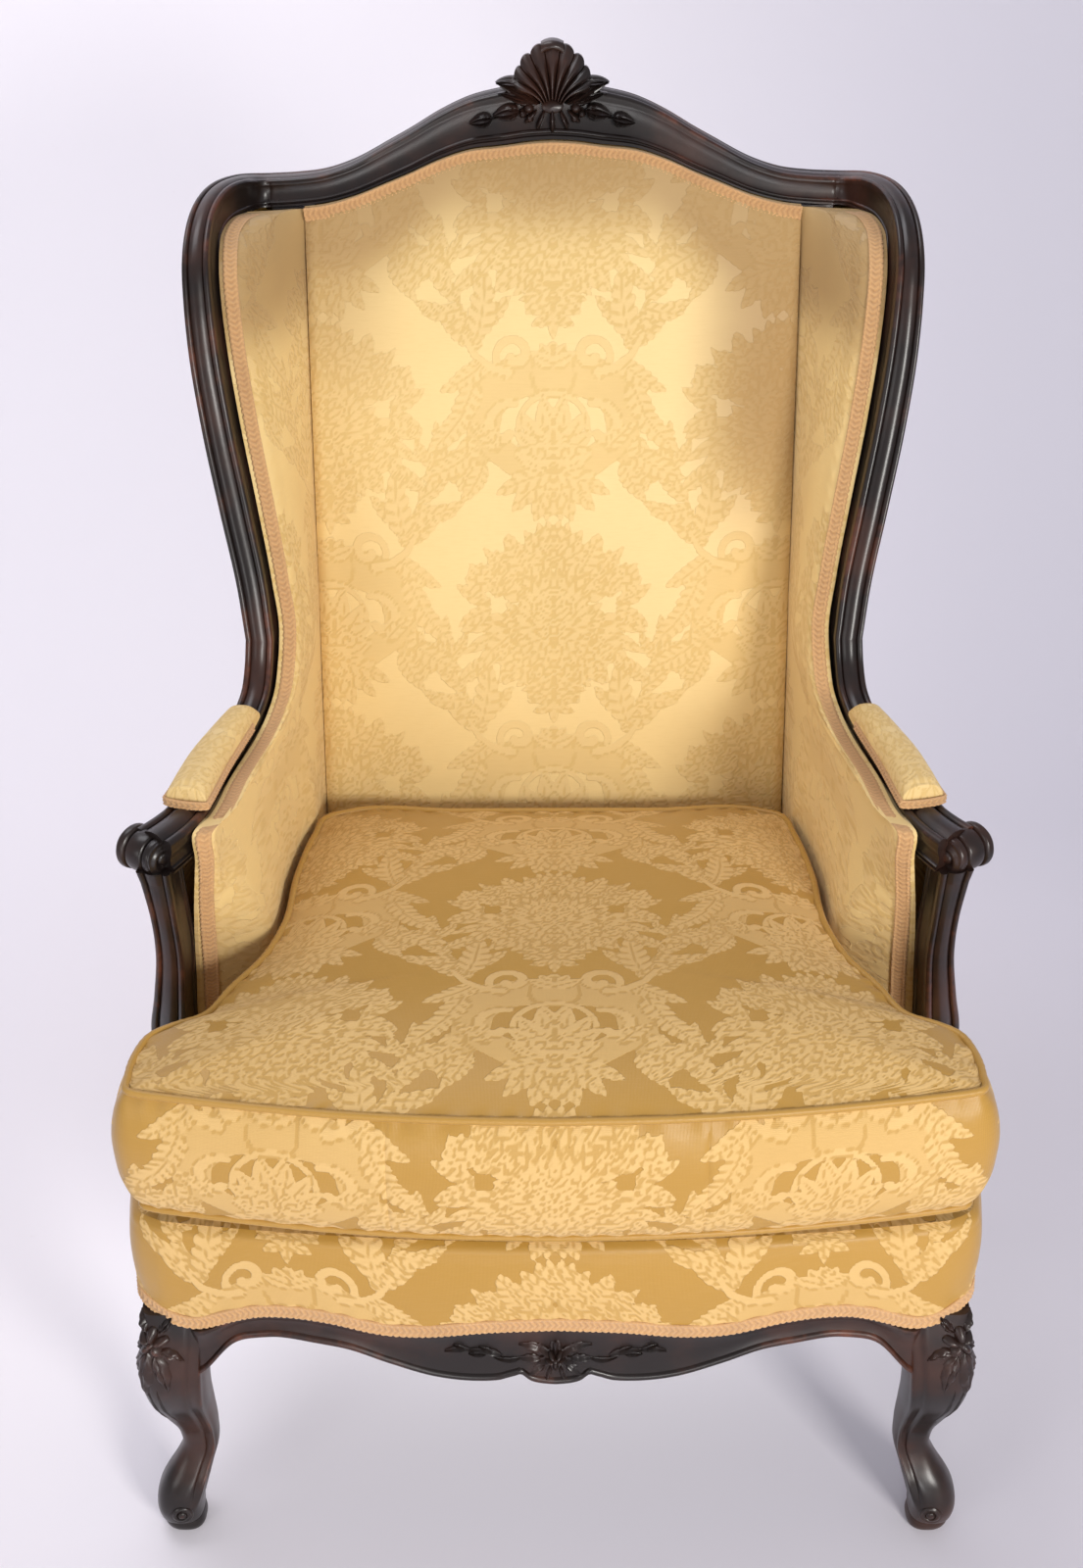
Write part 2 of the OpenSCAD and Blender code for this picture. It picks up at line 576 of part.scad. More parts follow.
// Seat: webbing below, springs tied on it, hessian over them and the padded deck
web_x_shares = [-0.84, -0.56, -0.28, 0, 0.28, 0.56, 0.84];
web_y_shares = [0.19, 0.31, 0.43, 0.55, 0.67, 0.78, 0.89];
web_reach = rail_t * 0.72;    // how far straps lap under the rails behind the lips
web_z = rail_bottom - gap;
strap_span = post_x - post_w / 4;
module seat_webbing() {
    color(jute) centred() {
        for (k = web_x_shares) let (x = strap_span * k, far = back_y(rail_bottom) + post_t * 0.6,
            near = front_y(abs(x) + web_w / 2) + web_reach)
            translate([x - web_w / 2, near, web_z - web_t]) cube([web_w, far - near, web_t]);
        for (k = web_y_shares) let (y = seat_d * k, half = side_x(y + web_w / 2) - web_reach)
            translate([-half, y - web_w / 2, web_z - 2 * web_t - gap / 2]) cube([2 * half, web_w, web_t]);
    }
}

spring_x_shares = [-0.56, 0, 0.56];
spring_y_shares = [0.31, 0.55, 0.79];
spring_waist = 0.22;          // how much a spring narrows at its middle, as a part of its radius
spring_low = web_z + gap;
module seat_springs() {
    steps = 7 * spring_turns;
    rise = rail_top - spring_low - wire_d;
    // The end turns lie flatter than the middle ones, as on a real spring
    function climb(t) = t + 0.07 * sin(720 * t) * -1;
    function radius(t) = (spring_d - wire_d) / 2 * (1 - spring_waist * sin(180 * t));
    function ring(i) = let (t = i / steps, a = 360 * spring_turns * t, r = radius(t),
        z = spring_low + wire_d / 2 + rise * climb(t))
        [for (k = [0:3]) let (q = 45 + 90 * k) [(r + wire_d * 0.6 * cos(q)) * cos(a),
            (r + wire_d * 0.6 * cos(q)) * sin(a), z + wire_d * 0.6 * sin(q)]];
    color(steel) centred() for (kx = spring_x_shares, ky = spring_y_shares)
        translate([strap_span * kx, seat_d * ky, 0]) loft([for (i = [steps:-1:0]) ring(i)]);
}

border_in = 45;               // how far the front border laps over the rails
hessian_top = rail_top + gap + cloth_t;
deck_top = rail_top + deck_t + cloth_t + gap * 2;
border_drop = 10;             // how far the border's top lies below the deck's
border_top = deck_top - border_drop;
side_clear = 2;
hessian_in = [14, 17];        // how far the hessian stays inside the front and the sides
deck_in = border_in + 3 * gap;
function seat_outline(front_in, side_in, rear) = let (
    fronts = [for (k = [0:5]) let (x = (seat_half - side_in) * k / 5) [x, front_y(x) + front_in]],
    y0 = front_y(seat_half - side_in) + front_in,
    sides = [for (k = [1:8]) let (y = mix(y0, rear, k / 8)) [side_x(y) - side_in, y]],
    half = concat(fronts, sides)) concat(half, [for (i = [len(half) - 1:-1:1]) [-half[i][0], half[i][1]]]);

module spring_hessian() {
    rear = seat_d - 2 * gap;
    color(jute) centred() translate([0, 0, rail_top + gap]) linear_extrude(cloth_t) difference() {
        polygon(seat_outline(hessian_in[0], hessian_in[1], rear));
        for (s = [1, -1]) scale([s, 1]) translate([side_x(support_d) - border_in, border_end])
            square([border_in + overrun, rear - border_end + overrun]);
    }
}

module seat_deck() {
    rear = seat_d - 2 * gap;
    color(fabric) centred() translate([0, 0, hessian_top + gap])
        linear_extrude(deck_top - hessian_top - gap) polygon(seat_outline(deck_in, deck_in, rear));
}

dust_in = [20, 26];           // how far the dust cover stays inside the front and the sides
dust_clear = 2;
module dust_cover() {
    z = web_z - 2 * web_t - gap - cloth_t;
    color(cambric) centred() translate([0, 0, z - gap]) linear_extrude(cloth_t)
        difference() {
            union() {
                polygon(seat_outline(dust_in[0], dust_in[1], back_y(rail_bottom) - dust_clear));
                translate([-back_w * 0.49, seat_d / 2])
                    square([back_w * 0.98, back_y(rail_bottom) + post_t * 0.3 - seat_d / 2]);
            }
            for (s = [1, -1]) scale([s, 1]) translate([block_in - dust_clear, corner_d - front_bow])
                square([block_w * 2, rail_front + dust_clear - corner_d + front_bow]);
        }
}

// Front border: the padded roll in front of the deck, round both front corners
border_profile_shares = [[0, 0], [1, 0.01], [1.3, 0.45], [1.15, 0.80], [0.4, 0.97], [-0.8, 1]];
function plan_path() = let (
    side = [for (k = [5:-1:0]) let (y = side_places[k]) [side_x(y), y, 1, 0]],
    turn = concat([[mix(seat_half, side_x(rail_front), 0.5), corner_y, 1, 0]],
        [for (a = [30, 60]) [corner_x + corner_r * cos(a), corner_y - corner_r * sin(a), cos(a), -sin(a)]]),
    front = [for (k = [len(show_places) - 1:-1:0]) let (x = seat_half * show_places[k])
        [x, front_y(x), 0, -1]],
    half = concat(side, turn, front))
    concat(half, [for (i = [len(half) - 2:-1:0]) [-half[i][0], half[i][1], -half[i][2], half[i][3]]]);
function border_low(x, y) = 5 * gap + (y > corner_y ? show_z : show_line(min(abs(x), seat_half)));
module front_border() {
    function ring(p) = let (low = border_low(p[0], p[1]), n = [p[2], p[3], 0],
        o = [p[0], p[1], 0] - n * rebate)
        concat([for (s = border_profile_shares) o + n * (gap + border_full * s[0]) +
                [0, 0, mix(low, border_top, s[1])]],
            [for (q = [[border_in - rebate, border_top], [border_in - rebate, hessian_top + gap],
                [-gap, hessian_top + gap]]) o - n * q[0] + [0, 0, q[1]]]);
    color(fabric) centred() loft([for (p = plan_path()) ring(p)]);
}

module front_gimp() {
    function edge(p, up, out) = let (low = border_low(p[0], p[1]), n = [p[2], p[3], 0])
        [p[0], p[1], 0] + n * (border_full * 1.06 - rebate + gap + out) + [0, 0, low + up];
    path = [for (p = plan_path()) if (abs(p[0]) < seat_half + side_swell + overrun) p];
    color(braid) centred() slab(
        [for (p = path) [edge(p, 0, 0), edge(p, gimp_w, border_full * 0.12)]],
        [for (p = path)
            [edge(p, 0, gimp_t + border_full * 0.1), edge(p, gimp_w, gimp_t + border_full * 0.2)]]);
}

// Back padding: full in the middle and tucked in at the edges
pad_half = back_w / 2 + side_full * 0.62;
pad_rows_share = [0, 0.1, 0.2, 0.3, 0.45, 0.6, 0.75, 0.88, 0.955, 1];
pad_full_shares = [[0, 0.2], [0.1, 0.35], [0.3, 1], [0.5, 0.9], [0.84, 0.45], [0.955, 0.1], [1, 0]];
pad_low = deck_top + side_clear;
pad_back = web_t * 2 + gap * 3;   // padding stands before the webbing on the posts
function pad_row_z(x, t) = mix(pad_low, crest_bottom(x) - gap, t);
pad_edge_shares = [[0, 1], [0.88, 1], [0.955, 0.9], [1, 0.7]];
function pad_fore(u, t) = pad_back + edge_t * lookup(t, pad_edge_shares)
    + back_belly * (1 - pow(abs(u), 3)) * lookup(t, pad_full_shares);
module back_pad() {
    cols = [for (i = [-8:8]) i / 8];
    function spot(u, t, out) = let (z = pad_row_z(pad_half * u, t)) [pad_half * u, back_y(z) - out, z];
    color(pale_fabric) centred() slab(
        [for (t = pad_rows_share) [for (u = cols) spot(u, t, pad_back)]],
        [for (t = pad_rows_share) [for (u = cols) spot(u, t, pad_fore(u, t))]]);
}

module back_gimp() {
    us = [for (i = [-16:16]) i / 16];
    function spot(u, drop, out) = let (x = pad_half * u, top = crest_bottom(x) - gap, z = top - drop,
        t = (z - pad_low) / (top - pad_low)) [x, back_y(z) - pad_fore(u, t) - gap - out, z];
    color(braid) centred() slab(
        [for (u = us) [spot(u, gimp_w, gimp_t), spot(u, 0, gimp_t)]],
        [for (u = us) [spot(u, gimp_w, 0), spot(u, 0, 0)]]);
}

module back_webbing() {
    module strap(low, high, half, off) {
        rotate([90, 0, 90]) translate([0, 0, -half]) linear_extrude(2 * half) polygon([
            [back_y(low) - off, low], [back_y(high) - off, high],
            [back_y(high) - off - web_t, high], [back_y(low) - off - web_t, low]]);
    }
    low = pad_low + tacking_h * 1.2;
    color(jute) centred() {
        for (k = [0.12, 0.30, 0.48, 0.66, 0.84]) let (z = mix(low, crest_end_z, k))
            strap(z, z + web_w, back_w / 2 + post_w * 0.3, gap);
        for (k = [-0.6, -0.2, 0.2, 0.6]) let (x = back_w / 2 * k)
            translate([x, 0, 0])
                strap(low, crest_bottom(abs(x) + web_w / 2) - 2 * gap, web_w / 2, gap * 1.5 + web_t);
    }
}

outside_full = 3;             // fullness of the outside back
outside_clear = 2;            // its clearance below the crest rail
module outside_back() {
    xs = [for (i = [-10:10]) i / 10];
    half = post_x + post_w / 2;
    rows = [0, 0.25, 0.5, 0.75, 1];
    function spot(u, t, out) = let (x = half * u,
        z = mix(rail_bottom + gap, crest_bottom(x) - outside_clear, t))
        [x, back_y(z) + post_t + gap + out, z];
    color(fabric) centred() slab(
        [for (t = rows) [for (u = xs) spot(u, t, panel_t + outside_full * (1 - u * u) * sin(180 * t))]],
        [for (t = rows) [for (u = xs) spot(u, t, 0)]]);
}

// Inside arms and wings. Each row runs from the wood's inner face back to the crease beside
// the back padding; the rows follow the support, the arm rail and the wing.
function frame_spots(into, expose_share, wing_expose) = let (
    spot = function (g, turn, w, t, e) g + width_axis(turn) * w / 2 * into + depth_axis(turn) * t * e,
    support = [for (i = [0:5]) spot(support_spot(i), support_turn, mould_w * support_girth_shares[i][0],
        mould_t, expose_share[0])],
    arm = [for (k = [0:7]) let (i = min(7, 8 - k)) spot(arm_spot(i), arm_turns[i],
        mould_w * arm_girth_shares[i][0], mould_t,
        k == 0 ? arm_girth_shares[i][1] + 0.02
            : mix(expose_share[1], expose_share[2], pow((8 - i) / 8, 2)))],
    wing = [for (i = [0:10]) spot(wing_spot(i), wing_turns[i], mould_w * wing_girth_shares[i][0],
        mould_t * wing_girth_shares[i][1], lookup(i, wing_expose))])
    concat([mix(support[0], support[1], (pad_low - rail_top) / (support[1][2] - rail_top))],
        [for (i = [1:5]) support[i]], arm, wing);
frame_turns = concat([for (i = [0:5]) support_turn], [for (k = [0:7]) arm_turns[min(7, 8 - k)]],
    [for (i = [0:10]) wing_turns[i]]);
crease_shares = [0, 0.05, 0.13, 0.21, 0.27, 0.32, 0.335, 0.348, 0.36, 0.375, 0.39, 0.41, 0.43, 0.46, 0.49,
    0.56, 0.66, 0.76, 0.86, 0.91, 0.945, 0.965, 0.98, 0.99, 1];
crease_top = crest_bottom(crest_half) - 2 * gap;
function crease_z(i) = mix(pad_low, crease_top, crease_shares[i]);
side_roll = 10;               // run over which the padding rolls up from the wood
inner_spots = frame_spots(1, [0.95, 0.14, 0.52], [[0, 0.5], [5, 0.62], [8, 0.82], [10, 0.95]]);
pad_depth_shares = [0, 0, 0, 0.45, 0.7, 1];
pad_near_shares = [0.25, 1, 1.04, 0.85, 0.35, 0];
pad_far_shares = [0, 0, 0, 0, -0.15, -1];
function pad_line(i) = let (e = inner_spots[i], z = crease_z(i),
    c = [pad_half + gap, back_y(z) - pad_back, z], run = c - e, l = norm(run),
    e1 = width_axis(frame_turns[i]))
    [for (k = [0:5]) let (s = k == 1 ? min(side_roll / l, 0.15) : k == 2 ? min(side_roll * 3.2 / l, 0.35)
        : pad_depth_shares[k], n = unit(mix(e1, [-1, 0, 0], s)),
        ahead = k == 5 ? 0 : lookup(i, arm_ease_shares) * side_full * (k == 0 ? 0.35 : 1))
        [e + run * s + n * (2 * gap + side_full * pad_near_shares[k] + ahead) * (k == 5 ? 0 : 1),
         e + run * s + n * (gap + side_full * pad_far_shares[k] + ahead), n, unit(run)]];
arm_ease_shares = [[4, 0], [5, 0.2], [7, 0.35], [13, 0.35], [15, 0]];   // padding held off the arm rail
module side_pad_left() {
    lines = [for (i = [0:len(inner_spots) - 1]) pad_line(i)];
    color(pale_fabric) centred() slab([for (l = lines) [for (p = l) p[0]]],
        [for (l = lines) [for (p = l) p[1]]]);
}

module side_pad_right() {
    right_hand() side_pad_left();
}

module side_gimp_left() {
    function cross_section(l) = let (a = l[0][0] + l[0][2] * gap, b = l[1][0] + l[1][2] * gap,
        n = unit(l[0][2] * side_roll - l[0][3] * side_full * 0.75))
        [[a + n * gap, b + n * gap], [a + n * (gap + gimp_t), b + n * (gap + gimp_t)]];
    strips = [for (i = [0:len(inner_spots) - 1]) cross_section(pad_line(i))];
    color(braid) centred() slab([for (s = strips) s[1]], [for (s = strips) s[0]]);
}

module side_gimp_right() {
    right_hand() side_gimp_left();
}

// Outside panel: from the back of the show frame to the back post, and down over the side rail
outer_spots = frame_spots(-1, [1.02, 0.62, 0.75], [[0, 0.80], [1, 1.02], [10, 1.03]]);
panel_free = 1.5;             // how far the panel stands off the side rail
module outside_side_left() {
    shares = [0, 0.12, 0.26, 0.42, 0.58, 0.78, 1];
    post_out = post_x + post_w / 2;
    low_z = [show_z + gap, rail_top - 2 * gap];
    low_y = support_d + mould_t * 0.8 + gap;
    low = [for (z = low_z) [side_x(low_y) - rebate, low_y, z]];
    foot = support_spot(0) - width_axis(support_turn) * mould_w * support_girth_shares[0][0] / 2
        + depth_axis(support_turn) * mould_t * support_girth_shares[0][1] * 1.02;
    starts = concat(low, [[foot[0], foot[1], rail_top - gap]], outer_spots);
    rear_z = concat(low_z, [rail_top - gap], [for (i = [0:len(outer_spots) - 1]) crease_z(i)]);
    function row(i, out) = let (o = starts[i], z = rear_z[i],
        turn = i < 2 ? [0, 0, 0] : frame_turns[max(i - 3, 0)],
        r = [post_out, back_y(z) + post_t * 0.92, z],
        hug = 1 - ease(clamp((z - rail_top) / (arm_z - rail_top), 0, 1)))
        [for (s = shares) let (p = mix(o, r, s), rail = max(side_x(min(p[1], seat_d)) - rebate, post_out),
            n = unit(mix(-width_axis(turn), [1, 0, 0], min(1, s * 3))),
            base = [i < 2 ? rail : mix(p[0], max(p[0], rail), hug), p[1], p[2]],
            free = i < 3 && s > 0 && s < 1 ? panel_free : i > 6 && i < 12 ? panel_t * (1 - s) : 0)
            base + n * (gap + free + out)];
    n = len(starts);
    color(fabric) centred() slab([for (i = [0:n - 1]) row(i, 0)], [for (i = [0:n - 1]) row(i, panel_t)]);
}

module outside_side_right() {
    right_hand() outside_side_left();
}

// Arm pad: a low dome on the flat of the arm rail, with gimp round its foot
arm_last = len(arm_shares) - 1;
function arm_at(share) = let (t = share * arm_last, i = min(floor(t), arm_last - 1), f = t - i)
    [mix(arm_spot(i), arm_spot(i + 1), f),
     unit(mix(width_axis(arm_turns[i]), width_axis(arm_turns[i + 1]), f)),
     mould_w * mix(arm_girth_shares[i][0], arm_girth_shares[i + 1][0], f)];
arm_pad_place_shares = [0.431, 0.4625, 0.5125, 0.575, 0.625, 0.669, 0.706, 0.731, 0.744];
arm_pad_full_shares = [0.35, 0.72, 0.93, 1, 1, 1, 0.92, 0.75, 0.45];
arm_pad_edge = gimp_t + 2 * gap;
module arm_pad_left() {
    function ring(k) = let (a = arm_at(arm_pad_place_shares[k]), h = arm_pad_h * arm_pad_full_shares[k],
        half = a[2] / 2 - arm_pad_edge)
        concat([for (side = [1, -1]) a[0] + a[1] * side * half + [0, 0, gap]],
            [for (q = [170, 145, 115, 90, 65, 35, 10])
                a[0] + a[1] * half * cos(q) + [0, 0, gap + h * (0.3 + 0.7 * sin(q))]]);
    color(pale_fabric) centred() loft([for (k = [0:8]) ring(k)]);
}

module arm_pad_right() {
    right_hand() arm_pad_left();
}

module arm_pad_gimp_left() {
    places = [for (k = [2:8]) arm_pad_place_shares[k]];
    h = gimp_w * 0.5;
    ahead = arm_at(arm_pad_place_shares[8] + 0.0125);
    function spot(t, side, out, up) = let (a = arm_at(t))
        a[0] + a[1] * side * (a[2] / 2 - arm_pad_edge + gap + out) + [0, 0, gap + up];
    function row(out, up) = concat([for (t = places) spot(t, 1, out, up)],
        [for (s = [1, -1]) ahead[0] + ahead[1] * s * (ahead[2] / 2 - arm_pad_edge + gap + out) * 0.98
            + cross(ahead[1], [0, 0, 1]) * (gap - out) * -1 + [0, 0, gap + up]],
        [for (i = [len(places) - 1:-1:0]) spot(places[i], -1, out, up)]);
    near = [row(gimp_t, 0), row(gimp_t, h)];
    far = [row(0, 0), row(0, h)];
    color(braid) centred() slab(far, near);
}

module arm_pad_gimp_right() {
    right_hand() arm_pad_gimp_left();
}

// Loose cushion: a T in plan, whose ears lie before the arm supports
ear_in = 11;                  // how far the ears stay inside the seat's width
cushion_half = seat_half - ear_in;
cushion_back = seat_d - cushion_ahead;
cushion_d = cushion_back + cushion_front;
ear_d = 102;                  // depth of the ears behind the front corner
cushion_shares = [[0, 0], [0.27, 0.006], [0.54, 0.022], [0.78, 0.046], [0.945, 0.068]];
ear_shares = [[0.985, -0.80], [0.998, -0.25], [0.967, -0.10], [0.913, -0.01]];
flank_shares = [[0.865, 0.268], [0.808, 0.3545], [0.745, 0.449], [0.715, 0.545], [0.710, 0.74],
    [0.688, 0.90], [0.665, 0.975], [0.60, 1], [0.30, 1], [0, 1]];
cushion_fall = 18;            // fall of the top welt towards the back
cushion_points = concat([for (s = cushion_shares) [cushion_half * s[0], cushion_d * s[1] - cushion_front]],
    [for (s = ear_shares) [cushion_half * s[0], ear_d * (1 + s[1])]],
    [for (s = flank_shares) [cushion_half * s[0], cushion_d * s[1] - cushion_front]]);
cushion_line = concat(cushion_points,
    [for (i = [len(cushion_points) - 2:-1:1]) [-cushion_points[i][0], cushion_points[i][1]]]);
cushion_n = len(cushion_line);
function outward(i) = let (a = cushion_line[(i + cushion_n - 1) % cushion_n],
    b = cushion_line[(i + 1) % cushion_n], d = unit(b - a)) [d[1], -d[0]];
rear_swell_share = 0.16;
function swell(i) = lookup(cushion_line[i][1] / ear_d,
    [[0.5, 1], [1.1, 0.55], [1.7, 0.35], [3.2, rear_swell_share]]);
function grown(by, z) = [for (i = [0:cushion_n - 1]) let (p = cushion_line[i] + outward(i) * by)
    [p[0], p[1], z]];
function swollen(by, k, z) = [for (i = [0:cushion_n - 1]) let (
    p = cushion_line[i] + outward(i) * (by + box_swell * k * swell(i))) [p[0], p[1], z]];
cushion_low = deck_top + gap;
welt_side = welt_r * cos(45);  // half the flat side of a welt
welt_low_z = cushion_low + cloth_t + welt_r;
welt_top_z = welt_low_z + cushion_h;
crown_d = 150;                // depth at which the crown is highest
function fall(y) = cushion_fall * pow(clamp((y - ear_d) / (cushion_back - ear_d), 0, 1), 1.5);
function crown_ring(k, by, off) = [for (p = grown(by, 0)) [k * p[0], mix(crown_d, p[1], k),
    welt_top_z - k * fall(p[1]) + off + cushion_crown * (1 - pow(k, 3.2))]];
crown_shares = [1, 0.91, 0.68, 0.34, 0.06];
panel_in = welt_side + gap;
seam_in = 1;                  // how far a panel's hidden face draws in

// A fan of rings shrinking to a small top ring, closed below by the same rings moved down
module domed_panel(t) {
    loft(concat([for (i = [4:-1:0]) crown_ring(crown_shares[i], -panel_in - 2 * seam_in, -t)],
        [for (i = [0:4]) crown_ring(crown_shares[i], -panel_in, 0)]));
}

module cushion_top_panel() {
    color(fabric) centred() domed_panel(cloth_t);
}

module cushion_bottom_panel() {
    color(fabric) centred() loft([grown(-panel_in - seam_in, cushion_low),
        grown(-panel_in, cushion_low + cloth_t)]);
}

// A level between the welts: t from 0 at the lower one to 1 at the upper one, which falls
function level(ring, t) = [for (p = ring) let (low = welt_low_z + welt_side + gap,
    high = welt_top_z - fall(p[1]) - welt_side - gap) [p[0], p[1], mix(low, high, t)]];
box_levels = [[0, 0], [0.25, 0.82], [0.7, 0.9], [1, 0]];

module cushion_boxing() {
    color(fabric) centred() loft(concat([for (b = box_levels) level(swollen(0, b[1], 0), b[0])],
        [for (k = [3:-1:0]) level(swollen(-cloth_t, box_levels[k][1], 0), box_levels[k][0])]),
        closed = true);
}

module cushion_core() {
    slack = cloth_t + gap * 1.5;
    color(foam) centred() loft(concat(
        [grown(-panel_in - slack - 4 * seam_in, cushion_low + cloth_t + gap)],
        [level(grown(-panel_in - slack, 0), 0)],
        [for (k = [1, 2]) level(swollen(-cloth_t - 2 * gap, box_levels[k][1], 0), box_levels[k][0])],
        [level(grown(-panel_in - slack, 0), 1)],
        [for (k = [0.91, 0.68, 0.34, 0.06]) crown_ring(k, -panel_in - slack, -slack - 2 * gap)]));
}

module welt(z, drop) {
    color(fabric) centred() loft([for (i = [0:cushion_n - 1]) let (p = cushion_line[i], n = outward(i),
        h = z - drop * fall(p[1])) [for (q = [45:90:315]) [p[0] + n[0] * welt_r * cos(q),
            p[1] + n[1] * welt_r * cos(q), h - welt_r * sin(q)]]], closed = true);
}

module cushion_welt_top() {
    welt(welt_top_z, 1);
}

module cushion_welt_bottom() {
    welt(welt_low_z, 0);
}

// Zip in the middle of the back boxing, and its slider at the closed end
zip_y = cushion_back + box_swell * box_levels[2][1] * rear_swell_share + gap;
zip_z = mix(welt_low_z, welt_top_z - cushion_fall, 0.5);
zip_t = 1.2;
teeth_h = 4;
module cushion_zip() {
    color(brass) centred() {
        translate([-zip_l / 2, zip_y, zip_z - zip_w / 2]) cube([zip_l, zip_t, zip_w]);
        translate([-zip_l / 2, zip_y + zip_t, zip_z - teeth_h / 2]) cube([zip_l, zip_t, teeth_h]);
    }
}

slider_wall = 1;
tab_l = 20;
tab_w = 5;
module zip_slider() {
    x = zip_l / 2 - slider_l;
    w = teeth_h + 2 * (slider_wall + gap);
    y = zip_y + zip_t + gap;
    color(brass) centred() {
        difference() {
            translate([x, y, zip_z - w / 2]) cube([slider_l, zip_t + slider_wall, w]);
            translate([x - overrun, y - overrun, zip_z - teeth_h / 2 - gap])
                cube([slider_l + 2 * overrun, overrun + zip_t, teeth_h + 2 * gap]);
        }
        translate([x + (slider_l - tab_w) / 2, y + zip_t + slider_wall, zip_z - tab_l])
            cube([tab_w, slider_wall, tab_l]);
    }
}

crest_rail();
wing_frame_left();
wing_frame_right();
arm_rail_left();
arm_rail_right();
arm_support_left();
arm_support_right();
back_post_left();
back_post_right();
front_leg_left();
front_leg_right();
front_rail();
side_rail_left();
side_rail_right();
back_seat_rail();
back_tacking_rail();
arm_stretcher_left();
arm_stretcher_right();
side_tacking_rail_left();
side_tacking_rail_right();
corner_blocks();
block_screws();
seat_webbing();
seat_springs();
spring_hessian();
seat_deck();
front_border();
front_gimp();
dust_cover();
back_webbing();
back_pad();
back_gimp();
outside_back();
side_pad_left();
side_pad_right();
side_gimp_left();
side_gimp_right();
outside_side_left();
outside_side_right();
arm_pad_left();
arm_pad_right();
arm_pad_gimp_left();
arm_pad_gimp_right();
cushion_core();
cushion_top_panel();
cushion_boxing();
cushion_bottom_panel();
cushion_welt_top();
cushion_welt_bottom();
cushion_zip();
zip_slider();
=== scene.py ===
# A winged bergere armchair: carved ebonised show-wood, damask upholstery and a loose cushion.
# Depths d run back from the seat's front corners, and Shape.make turns them into the frame's y.
import bpy
import bmesh
import math
import numpy as np
from mathutils import Matrix, Vector


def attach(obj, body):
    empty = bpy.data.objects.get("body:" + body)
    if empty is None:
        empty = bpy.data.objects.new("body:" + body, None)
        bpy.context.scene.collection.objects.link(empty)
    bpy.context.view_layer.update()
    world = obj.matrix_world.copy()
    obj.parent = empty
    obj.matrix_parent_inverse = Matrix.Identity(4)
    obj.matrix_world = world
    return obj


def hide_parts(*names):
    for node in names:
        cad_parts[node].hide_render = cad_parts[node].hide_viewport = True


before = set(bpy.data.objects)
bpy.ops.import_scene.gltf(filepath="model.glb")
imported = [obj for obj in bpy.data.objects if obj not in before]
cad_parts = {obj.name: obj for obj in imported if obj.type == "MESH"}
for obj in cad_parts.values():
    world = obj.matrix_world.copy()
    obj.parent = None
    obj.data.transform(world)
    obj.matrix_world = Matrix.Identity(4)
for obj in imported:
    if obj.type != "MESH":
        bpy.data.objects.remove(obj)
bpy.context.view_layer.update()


# Numbers and curves
def mix(a, b, t):
    return a + (b - a) * t


def ease(t):
    t = np.clip(t, 0, 1)
    return t * t * (3 - 2 * t)


def unit(v):
    return v / np.maximum(np.linalg.norm(v, axis=-1, keepdims=True), 1e-12)


def hermite(at, values, t):
    # A smooth curve through values at the places at
    at, values, t = (np.asarray(v, float) for v in (at, values, t))
    shape = (-1,) + (1,) * (values.ndim - 1)
    step = np.diff(at).reshape(shape)
    slope = np.diff(values, axis=0) / step
    left = step[1:] / (step[:-1] + step[1:])
    tangent = np.concatenate([slope[:1], slope[:-1] * left + slope[1:] * (1 - left), slope[-1:]])
    i = np.clip(np.searchsorted(at, t, side="right") - 1, 0, len(at) - 2)
    f = np.clip((t - at[i]) / np.diff(at)[i], 0, 1)
    h = step[i].reshape((-1,) + (1,) * (values.ndim - 1)) if values.ndim > 1 else np.diff(at)[i]
    f = f.reshape(h.shape)
    a, b, c = values[i], values[i + 1], f * f
    return ((2 * f * c - 3 * c + 1) * a + (f * c - 2 * c + f) * h * tangent[i]
            + (3 * c - 2 * f * c) * b + (f * c - c) * h * tangent[i + 1])


def table(rows):
    # A function that reads a smooth curve through rows of (place, value)
    rows = np.array(rows, float)
    return lambda t: hermite(rows[:, 0], rows[:, 1], np.atleast_1d(np.asarray(t, float)))


def travelled(points):
    # Distance along a line of points, from its start
    return np.concatenate([[0], np.cumsum(np.linalg.norm(np.diff(points, axis=0), axis=1))])


def allRound(count):
    return np.linspace(0, 2 * math.pi, count, endpoint=False)


def crossed(a, b):
    return np.meshgrid(a, b, indexing="ij")


def dense(rows, count, first=0, last=None):
    # Rows of numbers, the first three a point, resampled evenly along the points
    rows = np.asarray(rows, float)
    at = travelled(rows[:, :3])
    last = len(rows) - 1 if last is None else last
    return hermite(at, rows, np.linspace(at[first], at[last], count))


def arc(x, y, r, start, stop, count):
    # Points on an arc, angles in degrees
    turn = np.radians(np.linspace(start, stop, count))
    return [(x + r * math.cos(q), y + r * math.sin(q)) for q in turn]


# The frame's sizes, as in the CAD model
seat = dict(half=0.344, depth=0.498, bow=0.028, swell=0.007, corner=0.011, showZ=0.270,
            railTop=0.345, railBottom=0.252, rebate=0.008, railT=0.032, lipT=0.018)
back = dict(rake=math.tan(math.radians(13.3)), clear=0.222, postW=0.040, postT=0.028, postX=0.242)
crest = dict(half=0.265, endZ=1.041, rise=0.078, thick=0.034, high=0.024, swell=0.021)
arm = dict(x=0.268, gripX=0.326, jointD=0.419, gripD=0.178, jointZ=0.685, z=0.628, width=0.026, depth=0.038)
deckTop = 0.3732
gap = 0.0003


def backY(z):
    return seat["depth"] + back["rake"] * (z - seat["railTop"])


def frontY(x):
    return seat["corner"] - seat["bow"] * (1 - (x / seat["half"]) ** 2)


